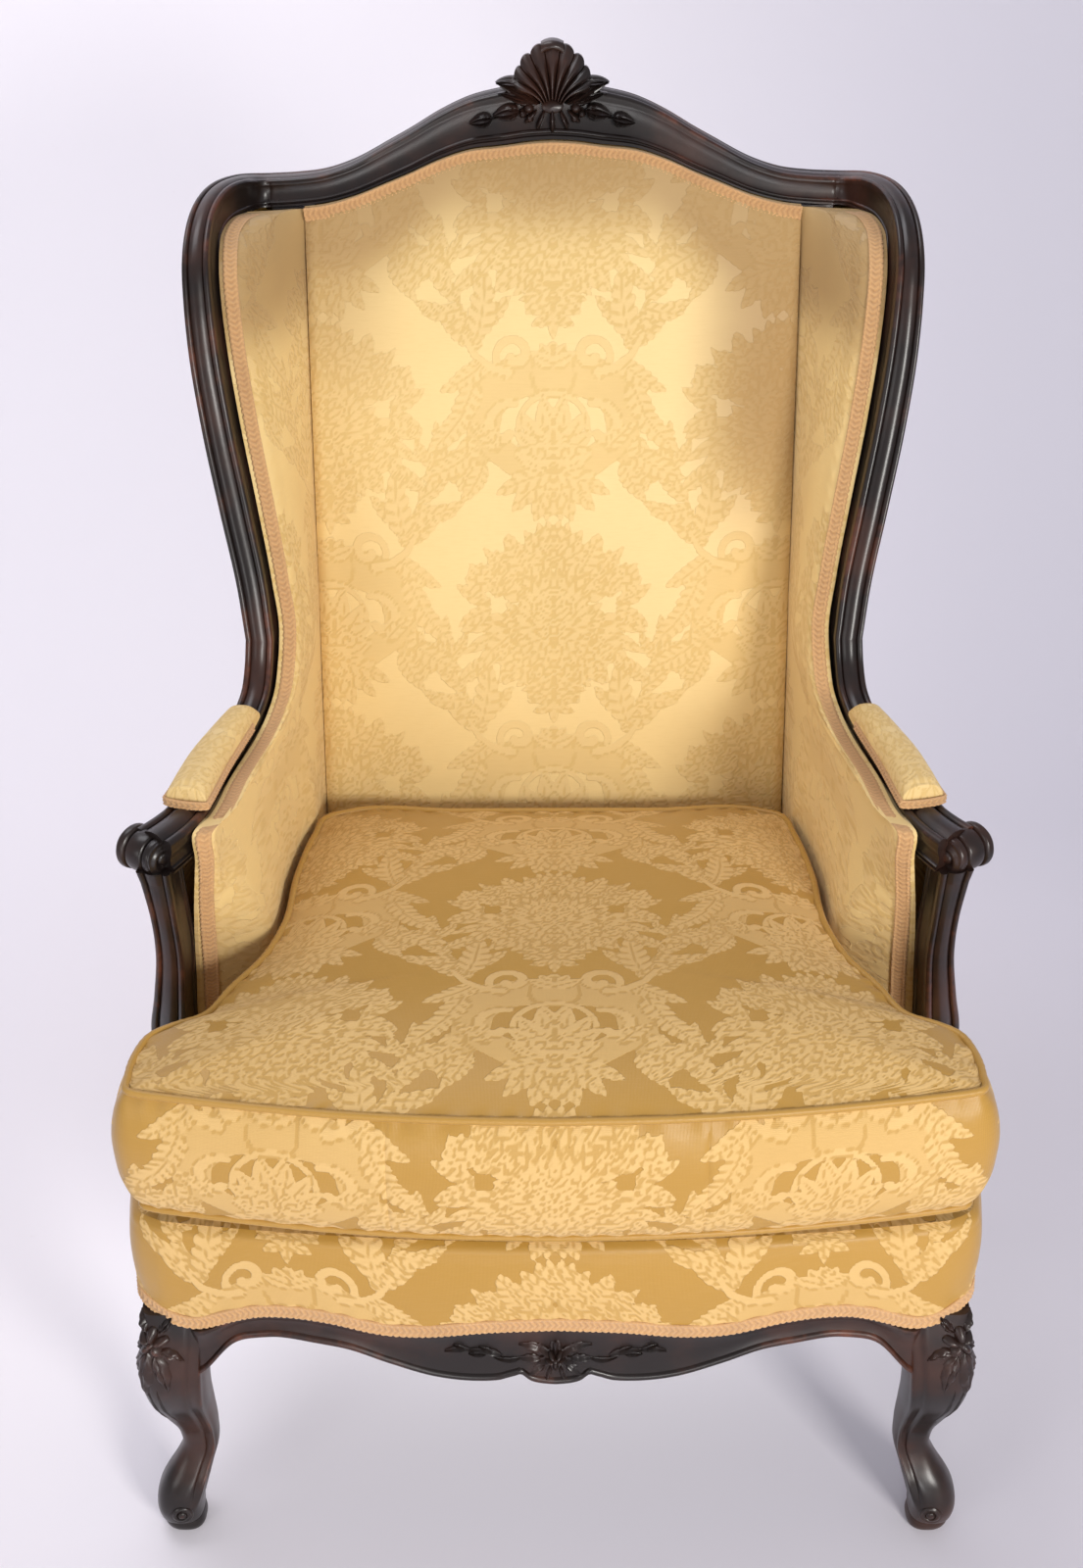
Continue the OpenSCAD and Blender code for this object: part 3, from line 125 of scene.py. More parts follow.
sideIn = table([(0, 0), (0.48, 0), (0.60, 0.17), (0.72, 0.43), (0.84, 0.71), (1, 1)])
sideOut = table([(0, 0), (0.12, 0.8), (0.27, 1), (0.48, 1), (0.60, 0.9), (0.72, 0.7), (0.84, 0.35), (1, 0)])


def sideX(d):
    t = d / seat["depth"]
    return mix(seat["half"], back["postX"] + back["postW"] / 2, sideIn(t)) + seat["swell"] * sideOut(t)


showWave = table([(0, 0.33), (0.17, 0.07), (0.31, -0.37), (0.40, -0.37), (0.54, 0.33), (0.63, 0.53),
                  (0.72, 0.33), (0.80, -0.40), (0.86, -1), (1, 0)])
apronFall = table([(0, 0.98), (0.05, 0.95), (0.09, 0.85), (0.14, 0.93), (0.19, 0.95), (0.29, 0.89),
                   (0.40, 0.68), (0.50, 0.46), (0.57, 0.39), (0.69, 0.34), (0.77, 0.50), (0.82, 0.76),
                   (0.856, 1)])
crestRise = table([(0, 1), (0.10, 0.985), (0.19, 0.935), (0.29, 0.853), (0.39, 0.707), (0.50, 0.50),
                   (0.57, 0.377), (0.70, 0.16), (0.80, 0.055), (0.90, 0.015), (1, 0)])
crestSwell = table([(0, 1), (0.17, 1), (0.28, 0.83), (0.45, 0.54), (0.57, 0.33), (0.70, 0.12),
                    (0.80, 0.02), (1, 0)])


def showLine(x):
    return seat["showZ"] + 0.015 * showWave(np.abs(x) / seat["half"])


def apronLine(x):
    return seat["showZ"] - 0.062 * apronFall(np.abs(x) / seat["half"])


def crestTop(x):
    return crest["endZ"] + crest["rise"] * crestRise(np.abs(x) / crest["half"])


def crestBottom(x):
    return crestTop(x) - crest["high"] - crest["swell"] * crestSwell(np.abs(x) / crest["half"])


midD = (backY(crest["endZ"] + crest["rise"]) + crest["thick"] - 0.039) / 2


def rimOf(rows, cols):
    # The points round a grid's edge, in order
    return (list(range(cols)) + [j * cols + cols - 1 for j in range(1, rows)]
            + [(rows - 1) * cols + i for i in range(cols - 2, -1, -1)]
            + [j * cols for j in range(rows - 2, 0, -1)])


# Meshes, gathered part by part with a value of each field at each point
class Shape:
    fields = {"wear": 1, "figure": 1, "tone": 1, "soil": 1, "cloth": 3}

    def __init__(self):
        self.points, self.faces, self.count, self.data = [], [], 0, {k: [] for k in self.fields}

    def add(self, points, faces, **data):
        points = np.asarray(points, float).reshape(-1, 3)
        self.points.append(points)
        self.faces += [tuple(int(k) + self.count for k in face) for face in faces]
        for name, size in self.fields.items():
            value = np.asarray(data.get(name, 0), float)
            wide = value.reshape(-1, size) if value.size > 1 else np.full((1, size), float(value))
            self.data[name].append(np.broadcast_to(wide, (len(points), size)))
        self.count += len(points)

    def grid(self, points, around=False, caps=False, flip=False, **data):
        # Rows of points joined by squares; around closes each row, caps fill the first and last row
        points = np.asarray(points, float)
        rows, cols = points.shape[:2]
        across = cols if around else cols - 1
        faces = []
        for j in range(rows - 1):
            for i in range(across):
                k = (i + 1) % cols
                face = (j * cols + i, j * cols + k, (j + 1) * cols + k, (j + 1) * cols + i)
                faces.append(face[::-1] if flip else face)
        if caps:
            first, last = list(range(cols))[::-1], [(rows - 1) * cols + i for i in range(cols)]
            faces += [first[::-1] if flip else first, last[::-1] if flip else last]
        spread = {k: np.asarray(v).reshape(rows * cols, -1) if np.asarray(v).size > 1 else v
                  for k, v in data.items()}
        self.add(points, faces, **spread)

    def both(self, near, far, **data):
        # A closed pad between two grids, the near one in front
        rows, cols = near.shape[:2]
        self.grid(near, **data)
        self.grid(far, flip=True, **data)
        n, start = rows * cols, self.count - 2 * rows * cols
        edge = rimOf(rows, cols)
        for a, b in zip(edge, edge[1:] + edge[:1]):
            self.faces.append((start + b, start + a, start + n + a, start + n + b))

    def pad(self, near, far, **data):
        # A closed pad whose dense face is near, with a plain back through the edge of far
        rows, cols = near.shape[:2]
        self.grid(near, **data)
        start = self.count - rows * cols
        edge = rimOf(rows, cols)
        n, rear = len(edge), start + rows * cols
        held = {k: np.asarray(v, float).reshape(rows * cols, -1)[edge] if np.asarray(v).size > 1 else v
                for k, v in data.items()}
        self.add(far.reshape(-1, 3)[edge], [], **held)
        for k in range(n):
            after = (k + 1) % n
            self.faces.append((start + edge[k], start + edge[after], rear + after, rear + k))
        right, left = rear + cols - 1, rear + n
        self.faces += [(left - j, right + j, right + j + 1, left - j - 1) for j in range(1, rows - 2)]
        self.faces.append(tuple(rear + k for k in range(cols + 1)) + (left - 1,))
        self.faces.append(tuple(rear + k for k in range(cols + rows - 3, n - rows + 3)))

    def mirrored(self):
        other = Shape()
        other.points = [p * np.array([-1, 1, 1]) for p in self.points]
        other.faces = [face[::-1] for face in self.faces]
        other.count, other.data = self.count, self.data
        return other

    def make(self, name, material, slot, nodes=(), body="chair", sharp=38, soft=None):
        mesh = bpy.data.meshes.new(name)
        points = np.concatenate(self.points) - np.array([0, midD, 0])
        mesh.from_pydata(points.tolist(), [], self.faces)
        work = bmesh.new()
        work.from_mesh(mesh)
        bmesh.ops.recalc_face_normals(work, faces=work.faces)
        work.to_mesh(mesh)
        work.free()
        for field, size in self.fields.items():
            values = np.concatenate(self.data[field])
            if not values.any():
                continue
            kind, key = ("FLOAT", "value") if size == 1 else ("FLOAT_VECTOR", "vector")
            mesh.attributes.new(field, kind, "POINT").data.foreach_set(key, values.ravel())
        mesh.shade_smooth()
        mesh.set_sharp_from_angle(angle=math.radians(sharp))
        made = bpy.data.objects.new(name, mesh)
        bpy.context.scene.collection.objects.link(made)
        mesh.materials.append(material)
        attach(made, body)
        if nodes:
            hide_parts(*nodes)
        return made


def pair(shape, name, *args, nodes=None, **more):
    # The left piece as built and the right one as its mirror image
    made = []
    for side, part in (("left", shape), ("right", shape.mirrored())):
        held = [f"{n}_{side}" for n in (nodes or [name])]
        made.append(part.make(f"{name}_{side}_look", *args, nodes=held, **more))
    return made


# Node materials: sockets wrapped so that sums and products read as such
class Value:
    def __init__(self, tree, socket):
        self.tree, self.socket = tree, socket

    def other(self, b, kind, swap=False):
        vector = self.socket.type == "VECTOR" or isinstance(b, tuple)
        node = self.tree.nodes.new("ShaderNodeVectorMath" if vector else "ShaderNodeMath")
        node.operation = kind
        first, second = (b, self) if swap else (self, b)
        join(self.tree, node.inputs[0], first)
        join(self.tree, node.inputs[1], second)
        return Value(self.tree, node.outputs[0])

    def __add__(self, b):
        return self.other(b, "ADD")

    def __radd__(self, b):
        return self.other(b, "ADD", True)

    def __sub__(self, b):
        return self.other(b, "SUBTRACT")

    def __rsub__(self, b):
        return self.other(b, "SUBTRACT", True)

    def __mul__(self, b):
        return self.other(b, "MULTIPLY")

    def __rmul__(self, b):
        return self.other(b, "MULTIPLY", True)

    def smooth(self, low, high):
        # 0 below low, 1 above high and a smooth step between
        node = self.tree.nodes.new("ShaderNodeMapRange")
        node.interpolation_type = "SMOOTHSTEP"
        join(self.tree, node.inputs["Value"], self)
        node.inputs["From Min"].default_value = low
        node.inputs["From Max"].default_value = high
        return Value(self.tree, node.outputs["Result"])


def join(tree, socket, value):
    if isinstance(value, Value):
        tree.links.new(value.socket, socket)
    elif value is not None:
        if socket.type == "VECTOR" and not isinstance(value, tuple):
            value = (value,) * 3
        socket.default_value = value


class Surface:
    # A material whose nodes are added by type, with settings first and then inputs
    def __init__(self, name):
        self.material = bpy.data.materials.new(name)
        self.material.use_nodes = True
        self.tree = self.material.node_tree
        self.shader = self.tree.nodes["Principled BSDF"]

    def node(self, kind, output=0, settings=None, **inputs):
        node = self.tree.nodes.new(kind)
        for key, value in (settings or {}).items():
            setattr(node, key, value)
        for key, value in inputs.items():
            name = key.replace("_", " ")
            join(self.tree, node.inputs[name] if name in node.inputs else node.inputs[int(key[1:])], value)
        return Value(self.tree, node.outputs[output])

    def place(self):
        return self.node("ShaderNodeTexCoord", "Object")

    def field(self, name, output="Fac"):
        return self.node("ShaderNodeAttribute", output, dict(attribute_name=name))

    def noise(self, where, scale, detail=3.0, rough=0.5):
        return self.node("ShaderNodeTexNoise", "Fac", Vector=where, Scale=scale, Detail=detail,
                         Roughness=rough)

    def wave(self, where, way, scale, distortion=0.0, detail=2.0):
        # Bands of thread across the X, Y or Z way, or on the diagonal
        return self.node("ShaderNodeTexWave", "Fac", dict(wave_type="BANDS", bands_direction=way),
                         Vector=where, Scale=scale, Distortion=distortion, Detail=detail)

    def blend(self, t, a, b):
        node = self.tree.nodes.new("ShaderNodeMix")
        node.data_type = "RGBA"
        join(self.tree, node.inputs["Factor"], t)
        for socket, value in ((node.inputs["A"], a), (node.inputs["B"], b)):
            colour = [s for s in node.inputs if s.name == socket.name and s.type == "RGBA"][0]
            join(self.tree, colour, value if isinstance(value, Value) else (*value, 1.0))
        out = [s for s in node.outputs if s.type == "RGBA"][0]
        return Value(self.tree, out)

    def bump(self, height, distance, strength=1.0, under=None):
        node = self.tree.nodes.new("ShaderNodeBump")
        node.inputs["Strength"].default_value = strength
        node.inputs["Distance"].default_value = distance
        join(self.tree, node.inputs["Height"], height)
        join(self.tree, node.inputs["Normal"], under)
        return Value(self.tree, node.outputs[0])

    def set(self, **inputs):
        for key, value in inputs.items():
            socket = self.shader.inputs[key.replace("_", " ")]
            plain = isinstance(value, tuple) and len(value) == 3
            join(self.tree, socket, (*value, 1.0) if plain else value)
        return self.material


def showWood():
    # Ebonised beech with a waxed sheen, worn to reddish brown on its beads
    look = dict(black=(0.010, 0.0065, 0.0055), brown=(0.045, 0.017, 0.010), worn=(0.15, 0.045, 0.022))
    s = Surface("show wood")
    place = s.place()
    grain = s.noise(place * (1.0, 1.0, 0.12), 160.0, 5.0, 0.62)
    cloud = s.noise(place, 11.0, 4.0, 0.6)
    chips = s.noise(place, 130.0, 3.0, 0.6)
    colour = s.blend(cloud.smooth(0.38, 0.72), look["black"], look["brown"])
    rubbed = (s.field("wear") * 0.42 + cloud * 0.9 + chips * 0.40).smooth(1.04, 1.34)
    colour = s.blend(rubbed * 0.75, colour, look["worn"])
    height = grain * 0.35 + chips * 0.25
    return s.set(Base_Color=colour, Roughness=cloud * 0.24 + 0.21 + rubbed * 0.12,
                 Coat_Weight=0.10, Coat_Roughness=0.2, Specular_IOR_Level=0.38,
                 Normal=s.bump(height, 0.0006, 0.35))


def plainWood():
    # Unpolished beech of the hidden rails
    look = dict(dark=(0.42, 0.27, 0.14), light=(0.60, 0.43, 0.25))
    s = Surface("beech")
    place = s.place()
    grain = s.noise(place * (0.25, 1.0, 1.0), 90.0, 6.0, 0.6)
    colour = s.blend(grain.smooth(0.3, 0.7), look["dark"], look["light"])
    return s.set(Base_Color=colour, Roughness=grain * 0.2 + 0.6, Normal=s.bump(grain, 0.0008, 0.4))


threads = dict(weft=1500.0, warp=1900.0, slub=700.0, ragged=900.0, lift=0.9, depth=0.0009, matte=0.80)


def damask(name, ground, figure, dark, soiled, shine):
    # Satin ground with a raised matte figure; the drawing comes from the figure and tone fields
    s = Surface(name)
    cloth = s.field("cloth", "Vector")
    place = s.place()
    weft = s.wave(cloth, "Y", threads["weft"] / (2 * math.pi), 0.6, 1.0)
    warp = s.wave(cloth, "X", threads["warp"] / (2 * math.pi), 0.4, 1.0)
    ragged = s.noise(cloth * (1.0, 0.6, 1.0), threads["ragged"], 2.0)
    inside = (s.field("figure") + (ragged - 0.5) * 1.1).smooth(-0.45, 0.45)
    vein = s.field("tone").smooth(0.25, 0.9)
    pale = s.noise(place, 6.0, 3.0)
    slub = s.noise(cloth * (0.10, 1.0, 1.0), threads["slub"], 3.0, 0.6)
    drawn = s.blend(vein, dark, figure)
    colour = s.blend(inside, ground, drawn)
    faded = tuple(min(1.0, c * 1.18 + 0.02) for c in ground)
    colour = s.blend(pale.smooth(0.35, 0.75) * 0.22, colour, faded)
    colour = s.blend(slub.smooth(0.42, 0.8) * 0.18, colour, dark)
    # Real soil and painted shade both come in through the soil field and darken the cloth here
    grime_and_shade = (s.field("soil") * 1.2 + pale * 0.5 - 0.35).smooth(0.0, 1.0)
    colour = s.blend(grime_and_shade * 0.75, colour, soiled)
    raised = inside * threads["lift"] + vein * inside * threads["lift"] * 0.8
    height = raised + weft * inside * 0.22 + warp * 0.12 + slub * 0.2
    rough = inside * (threads["matte"] - shine) + shine
    return s.set(Base_Color=colour, Roughness=rough, Sheen_Weight=0.10, Sheen_Roughness=0.5,
                 Specular_IOR_Level=0.38, Normal=s.bump(height, threads["depth"], 0.55))


def braid():
    # Peach-tan gimp, its loops modelled and its yarn in the nodes
    look = dict(dark=(0.65, 0.365, 0.135), light=(0.85, 0.525, 0.245), aged=(0.52, 0.31, 0.14),
                hollow=(0.40, 0.20, 0.085))
    s = Surface("gimp")
    yarn = s.wave(s.field("cloth", "Vector"), "DIAGONAL", 520.0, 2.0)
    cloud = s.noise(s.place(), 35.0, 3.0)
    colour = s.blend(yarn, look["dark"], look["light"])
    colour = s.blend(cloud.smooth(0.45, 0.8) * 0.4, colour, look["aged"])
    # Painted shade: the braid's low places between the cords and ribs darken towards the hollow colour
    colour = s.blend((s.field("wear") * -1.0 + 1.0) * 0.55, colour, look["hollow"])
    return s.set(Base_Color=colour, Roughness=cloud * 0.1 + 0.72, Sheen_Weight=0.2,
                 Normal=s.bump(yarn, 0.0005, 0.6))


def coarse(name, light, shade, scale, rough=0.9):
    # Plain woven cloth: webbing, hessian or cambric
    s = Surface(name)
    place = s.place()
    a, b, c = (s.wave(place, way, scale) for way in "XYZ")
    weave = a * 0.4 + b * 0.3 + c * 0.3
    cloud = s.noise(place, 30.0, 4.0)
    colour = s.blend(weave * 0.6 + cloud * 0.4, shade, light)
    return s.set(Base_Color=colour, Roughness=cloud * 0.08 + rough - 0.04,
                 Normal=s.bump(weave, 0.0006, 0.7))


def metal(name, colour, dull, rough):
    s = Surface(name)
    cloud = s.noise(s.place(), 120.0, 4.0)
    return s.set(Base_Color=s.blend(cloud.smooth(0.4, 0.75), colour, dull), Metallic=1.0,
                 Roughness=cloud * 0.2 + rough, Normal=s.bump(cloud, 0.0002, 0.3))


woodLook = showWood()
beechLook = plainWood()
# The soiled colours serve both for real soil and for painted shade
goldCloth = dict(ground=(0.42, 0.232, 0.040), figure=(0.67, 0.445, 0.175), dark=(0.51, 0.31, 0.09),
                 soiled=(0.38, 0.24, 0.10), shine=0.36)
paleCloth = dict(ground=(0.81, 0.60, 0.262), figure=(0.77, 0.56, 0.245), dark=(0.68, 0.47, 0.175),
                 soiled=(0.31, 0.18, 0.07), shine=0.46)
goldLook = damask("damask", **goldCloth)
paleLook = damask("faded damask", **paleCloth)
gimpLook = braid()
juteLook = coarse("jute", (0.46, 0.33, 0.18), (0.26, 0.17, 0.08), 900.0)
cambricLook = coarse("cambric", (0.035, 0.034, 0.036), (0.015, 0.015, 0.016), 1800.0)
steelLook = metal("steel", (0.50, 0.50, 0.52), (0.30, 0.28, 0.26), 0.32)
brassLook = metal("brass", (0.72, 0.52, 0.22), (0.42, 0.28, 0.11), 0.30)
print("materials done")


# The damask: bouquets and cartouches in a half-drop, drawn leaf by leaf on one tile, in millimetres
class Drawing:
    half, high, step, low = 215.0, 370.0, 0.5, -198    # half width, height, grid and cartouche height

    def __init__(self):
        across, up = np.arange(0, self.half + self.step, self.step), np.arange(0, self.high, self.step)
        self.u, self.v = np.meshgrid(across, up)
        self.edge, self.tone = np.full(self.u.shape, -6.0), np.ones(self.u.shape)

    def copies(self, x, y):
        # Where each copy of the point x, y lies from every place on the tile
        folds = (self.u, 0), (-self.u, 0), (self.half - self.u, 0.5), (self.u - self.half, 0.5)
        for across, drop in folds:
            up = self.v - y - drop * self.high
            yield across - x, (up + self.high / 2) % self.high - self.high / 2

    def lay(self, near, edge, tone, rim=1.3):
        # Later shapes cover earlier ones and keep a thin dark rim round themselves
        held = np.zeros(self.u.shape, bool)
        inside = edge > -rim
        held[near] = inside
        edge, tone = edge[inside], np.broadcast_to(tone, edge.shape)[inside]
        seam = (self.edge[held] > 0) & (edge < 0)
        self.edge[held] = np.where(seam, 0.9, edge)
        self.tone[held] = np.where(seam, 0.0, tone)

    def leaf(self, x, y, heading, length, width, bend=0.0, lobes=5, full=0.7):
        turn = math.radians(heading)
        for du, dv in self.copies(x, y):
            near = np.hypot(du, dv) < length * 1.15
            if not near.any():
                continue
            t = (du[near] * math.cos(turn) + dv[near] * math.sin(turn)) / length
            s = dv[near] * math.cos(turn) - du[near] * math.sin(turn) - bend * t * t * length
            body = np.sin(np.pi * np.clip(t, 0, 1) ** full) ** 0.6
            across = np.abs(s) / (width * body + 0.01)
            phase = t * lobes - 0.6 * np.minimum(across, 1.3)
            tooth = np.sqrt(np.abs(np.sin(np.pi * phase))) if lobes else 1.0
            edge = width * body * (0.70 + 0.34 * tooth) - np.abs(s)
            edge = np.minimum(edge, np.minimum(t, 1 - t) * length)
            groove = np.exp(-(((phase + 0.5) % 1 - 0.5) / 0.17) ** 2) * np.clip(across * 3 - 0.3, 0, 1)
            groove = groove if lobes else 0.0
            rib = np.exp(-(s / 0.9) ** 2) * (t < 0.85)
            self.lay(near, edge, 1 - np.maximum(rib, groove))

    def stroke(self, points, wide, tone=1.0, rim=1.3):
        # A line through points, its half width given at the start, the middle and the end
        points = np.asarray(points, float)
        share = np.linspace(0, 1, len(points))
        width = np.interp(share, [0, 0.5, 1], wide)
        middle = points.mean(axis=0)
        reach = np.abs(points - middle).max() * 1.45 + max(wide) + 2
        for du, dv in self.copies(*middle):
            near = np.hypot(du, dv) < reach
            if not near.any():
                continue
            at = np.stack([du[near], dv[near]], axis=-1) + middle
            edge = np.full(len(at), -6.0)
            for a, b, wa, wb in zip(points, points[1:], width, width[1:]):
                run = b - a
                t = np.clip(((at - a) @ run) / max(run @ run, 1e-9), 0, 1)
                off = np.linalg.norm(at - a - t[:, None] * run, axis=1)
                edge = np.maximum(edge, wa + (wb - wa) * t - off)
            self.lay(near, edge, tone, rim)

    def scroll(self, x, y, r, start, turns, wide=2.6, side=1):
        # A volute that winds in from radius r
        share = np.linspace(0, 1, 30)
        turn = math.radians(start) + side * share * turns * 2 * math.pi
        radius = r * (1 - 0.78 * share)
        line = np.stack([x + radius * np.cos(turn), y + radius * np.sin(turn)], -1)
        self.stroke(line, (wide * 0.7, wide, wide))

    def flower(self, x, y, r, petals, first=90):
        for k in range(petals):
            self.leaf(x, y, first + 360 * k / petals, r, r * 0.36, 0, 0, 1.25)
        self.stroke([(x, y), (x, y + 0.1)], (r * 0.26,) * 3)

    def fan(self, x, y, headings, lengths, width, bend=0.12, lobes=4):
        # Leaves on both sides of the upright, outer ones first
        for heading, length in list(zip(headings, lengths))[::-1]:
            side = 1 if heading <= 90 else -1
            self.leaf(x, y, heading, length, width, bend * side, lobes)

    def at(self, u, v):
        # The edge and tone fields at places in metres
        u = np.abs((np.asarray(u) * 1000 + self.half) % (2 * self.half) - self.half) / self.step
        v = (np.asarray(v) * 1000 % self.high) / self.step
        i, j = np.minimum(u.astype(int), self.u.shape[1] - 2), v.astype(int) % self.u.shape[0]
        k, fu, fv = (j + 1) % self.u.shape[0], u - u.astype(int), v - v.astype(int)
        return [mix(mix(f[j, i], f[j, i + 1], fu), mix(f[k, i], f[k, i + 1], fu), fv)
                for f in (self.edge, self.tone)]


def drawBouquet(d):
    # The large bouquet at the middle of each column
    d.fan(0, -50, (-30, -50, -70, -88), (46, 48, 50, 50), 9.5, -0.15, 4)
    for y, length in ((-70, 34), (-84, 28), (-97, 22)):
        d.leaf(0, y, -34, length, 6.0, 0.2, 3)
    d.leaf(0, -92, -90, 26, 5.5, 0, 3)
    d.fan(10, -12, (-62, -44, -28, -12, 3), (66, 76, 82, 84, 80), 10.5, -0.20, 5)
    d.leaf(20, -36, -60, 50, 10.5, 0.1, 4)
    d.leaf(40, -26, -34, 48, 9.0, -0.2, 4)
    d.fan(10, 4, (64, 48, 32, 17), (62, 72, 78, 80), 10.0, 0.20, 5)
    d.leaf(52, 10, 72, 38, 8.5, -0.2, 4)
    d.leaf(60, 4, 16, 38, 8.0, 0.2, 4)
    d.leaf(60, -2, -16, 36, 8.0, -0.2, 4)
    d.flower(43, -50, 14.5, 7)
    d.flower(28, -34, 10.0, 6)
    d.flower(71, 27, 15.0, 8)
    d.flower(54, 46, 10.0, 7)
    d.flower(40, 24, 10.0, 7)
    d.leaf(26, 34, 58, 42, 10.0, 0.1, 5)
    d.fan(0, 40, (24, 44, 64, 90), (40, 44, 44, 44), 9.5, 0.12, 4)
    d.flower(0, 52, 10.5, 7)
    d.fan(0, -22, (0, 22, 44, 67, 90), (46, 54, 60, 66, 70), 8.4, 0.12, 3)
    d.stroke(arc(0, -4, 19, 0, 180, 24), (2.2, 3.0, 2.2))
    d.fan(0, -10, (30, 60, 90), (20, 23, 25), 5.2, 0.08, 0)
    d.fan(0, -28, (-14, -38, -62, -90), (42, 42, 40, 38), 9.0, -0.12, 4)
    d.flower(0, -22, 11.0, 8)


def drawCartouche(d):
    # The shell in a strapwork frame below each bouquet, with scrolls and a hanging spray
    y = d.low
    d.stroke([(0, y + 46), (26, y + 48), (50, y + 40), (66, y + 20), (66, y - 6), (74, y - 30),
              (92, y - 46)], (20, 19, 8), 0.62)
    d.stroke([(0, y + 46), (0, y + 54)], (19, 19, 19), 0.62)
    d.stroke([(56, y - 18), (32, y - 36), (0, y - 42)], (13, 13, 12), 0.62)
    for x, up, heading, length, wide in (
            (64, 60, -46, 50, 10), (74, 40, -72, 54, 11), (84, 14, -60, 50, 11), (82, -10, -94, 50, 10),
            (80, -26, -40, 50, 10), (66, -34, -72, 42, 9)):
        d.leaf(x, y + up, heading, length, wide, 0.22, 6)
    d.scroll(36, y + 66, 20, -70, 1.1, 4.4)
    d.stroke([(42, y + 50), (58, y + 54), (74, y + 66), (84, y + 84)], (4.2, 3.6, 2.4))
    d.fan(0, y + 58, (20, 50, 90), (24, 22, 20), 6.0, 0.1, 0)
    d.scroll(44, y - 2, 25, 110, -0.62, 4.6)
    d.leaf(52, y - 22, 60, 34, 7.0, -0.3, 4)
    d.fan(0, y - 42, (-12, -34, -60, -90), (58, 54, 50, 46), 10.5, -0.16, 5)
    d.stroke([(0, y - 32), (12, y - 38), (24, y - 35), (33, y - 25)], (4.2, 3.6, 2.6))
    d.stroke(arc(0, y - 2, 33, -40, 220, 40), (2.8, 2.8, 2.8))
    d.fan(0, y - 29, (2, 24, 46, 68, 90), (32, 44, 50, 54, 57), 9.0, 0.16, 0)
    d.fan(0, y - 27, (46, 90), (22, 30), 5.4, 0.1, 0)
    d.scroll(13, y - 24, 9, 200, 1.0, 2.4, -1)


def drawSprig(d):
    # The branch that climbs from the cartouche to the next column's bouquet
    y = d.low
    d.stroke([(74, y + 82), (84, y + 104), (96, y + 132), (104, y + 160)], (3.2, 2.4, 1.6))
    for x, up, heading, length, width in (
            (66, 74, 20, 46, 8.5), (70, 92, 150, 40, 8.5), (78, 96, 8, 54, 9.5),
            (84, 108, -20, 38, 8.0), (86, 116, 30, 42, 7.5), (90, 126, 146, 36, 8.0),
            (96, 138, 50, 36, 7.5), (100, 148, 134, 30, 6.5), (103, 158, 76, 32, 6.5),
            (102, 152, 14, 26, 6.0)):
        d.leaf(x, y + up, heading, length, width, 0.2 if heading < 90 else -0.2, 5)
    d.leaf(72, y + 80, 108, 66, 13.0, -0.2, 6)


pattern = Drawing()
drawSprig(pattern)
drawCartouche(pattern)
drawBouquet(pattern)
print("damask drawn")


def damaskFields(u, v, soil=0.0):
    # What the damask material needs at each point of a grid
    edge, tone = pattern.at(u, v)
    cloth = np.stack([u, v, np.zeros_like(u)], axis=-1)
    return dict(figure=edge, tone=tone, cloth=cloth, soil=soil + np.zeros_like(u))


# Show-wood
moulding = dict(wide=26, deep=38, beadX=10.15, beadY=3.9, beadR=2.85, hollowR=9.9, rearR=1.8)


def mould(w, t, flute=0.0):
    # The moulding's section in millimetres across its width and depth, with how far each point is rubbed
    m, half = moulding, moulding["wide"] / 2
    k = min(w / arm["width"], t / arm["depth"])
    hollow = [(a, b, 0.45) for a, b in arc(0, 10, m["hollowR"], 225, 315, 27)]
    inner, outer = ([(a, b, 1) for a, b in arc(x, m["beadY"], m["beadR"], start, start + 190, 11)]
                    for x, start in ((-m["beadX"], 155), (m["beadX"], 195)))
    front = [(-half, 9.5, 0), (-12.9, 7.2, 0)] + inner + [(-7.25, 4.9, 0)] + hollow
    front += [(7.25, 4.9, 0)] + outer + [(12.9, 7.2, 0), (12.4, 9.6, 0), (11.5, 12, 0)]
    rear = [(11.0, 24, 0), (11.3, 28, 0), (11.4, 30, 0)]
    rear += [(a, b, 0.9) for a, b in arc(11.2, 32.2, m["rearR"], -80, 80, 6)]
    rear += [(11.6, 34.8, 0), (half, 35.6, 0.3), (half, m["deep"], 0), (-half, m["deep"], 0)]
    rows = []
    for a, b, worn in front:
        lift = flute * (1.5 * (1 - (a / half) ** 2) + 0.8)
        rows.append((a * w / m["wide"], (b * (1 + 0.7 * flute) - lift) * k, worn))
    rows += [(a * w / m["wide"], t * 1000 - (m["deep"] - b) * k, worn) for a, b, worn in rear]
    return np.array(rows) * np.array([1, 0.001, 1])


def turned(yaw, pitch, splay):
    yaw, pitch, splay = (math.radians(v) for v in (yaw, pitch, splay))
    return ((-math.cos(yaw), -math.sin(yaw), 0),
            (-math.sin(splay) * math.cos(pitch), math.cos(splay) * math.cos(pitch), -math.sin(pitch)))


def row(origin, e1, e2, w, t):
    return [*origin, *e1, *e2, w, t]


def crestRow(x):
    z = float(crestTop(x)[0])
    return row((x, backY(z) + crest["thick"] / 2, z), (0, -1, 0), (0, -back["rake"], -1),
               crest["thick"], z - float(crestBottom(x)[0]))


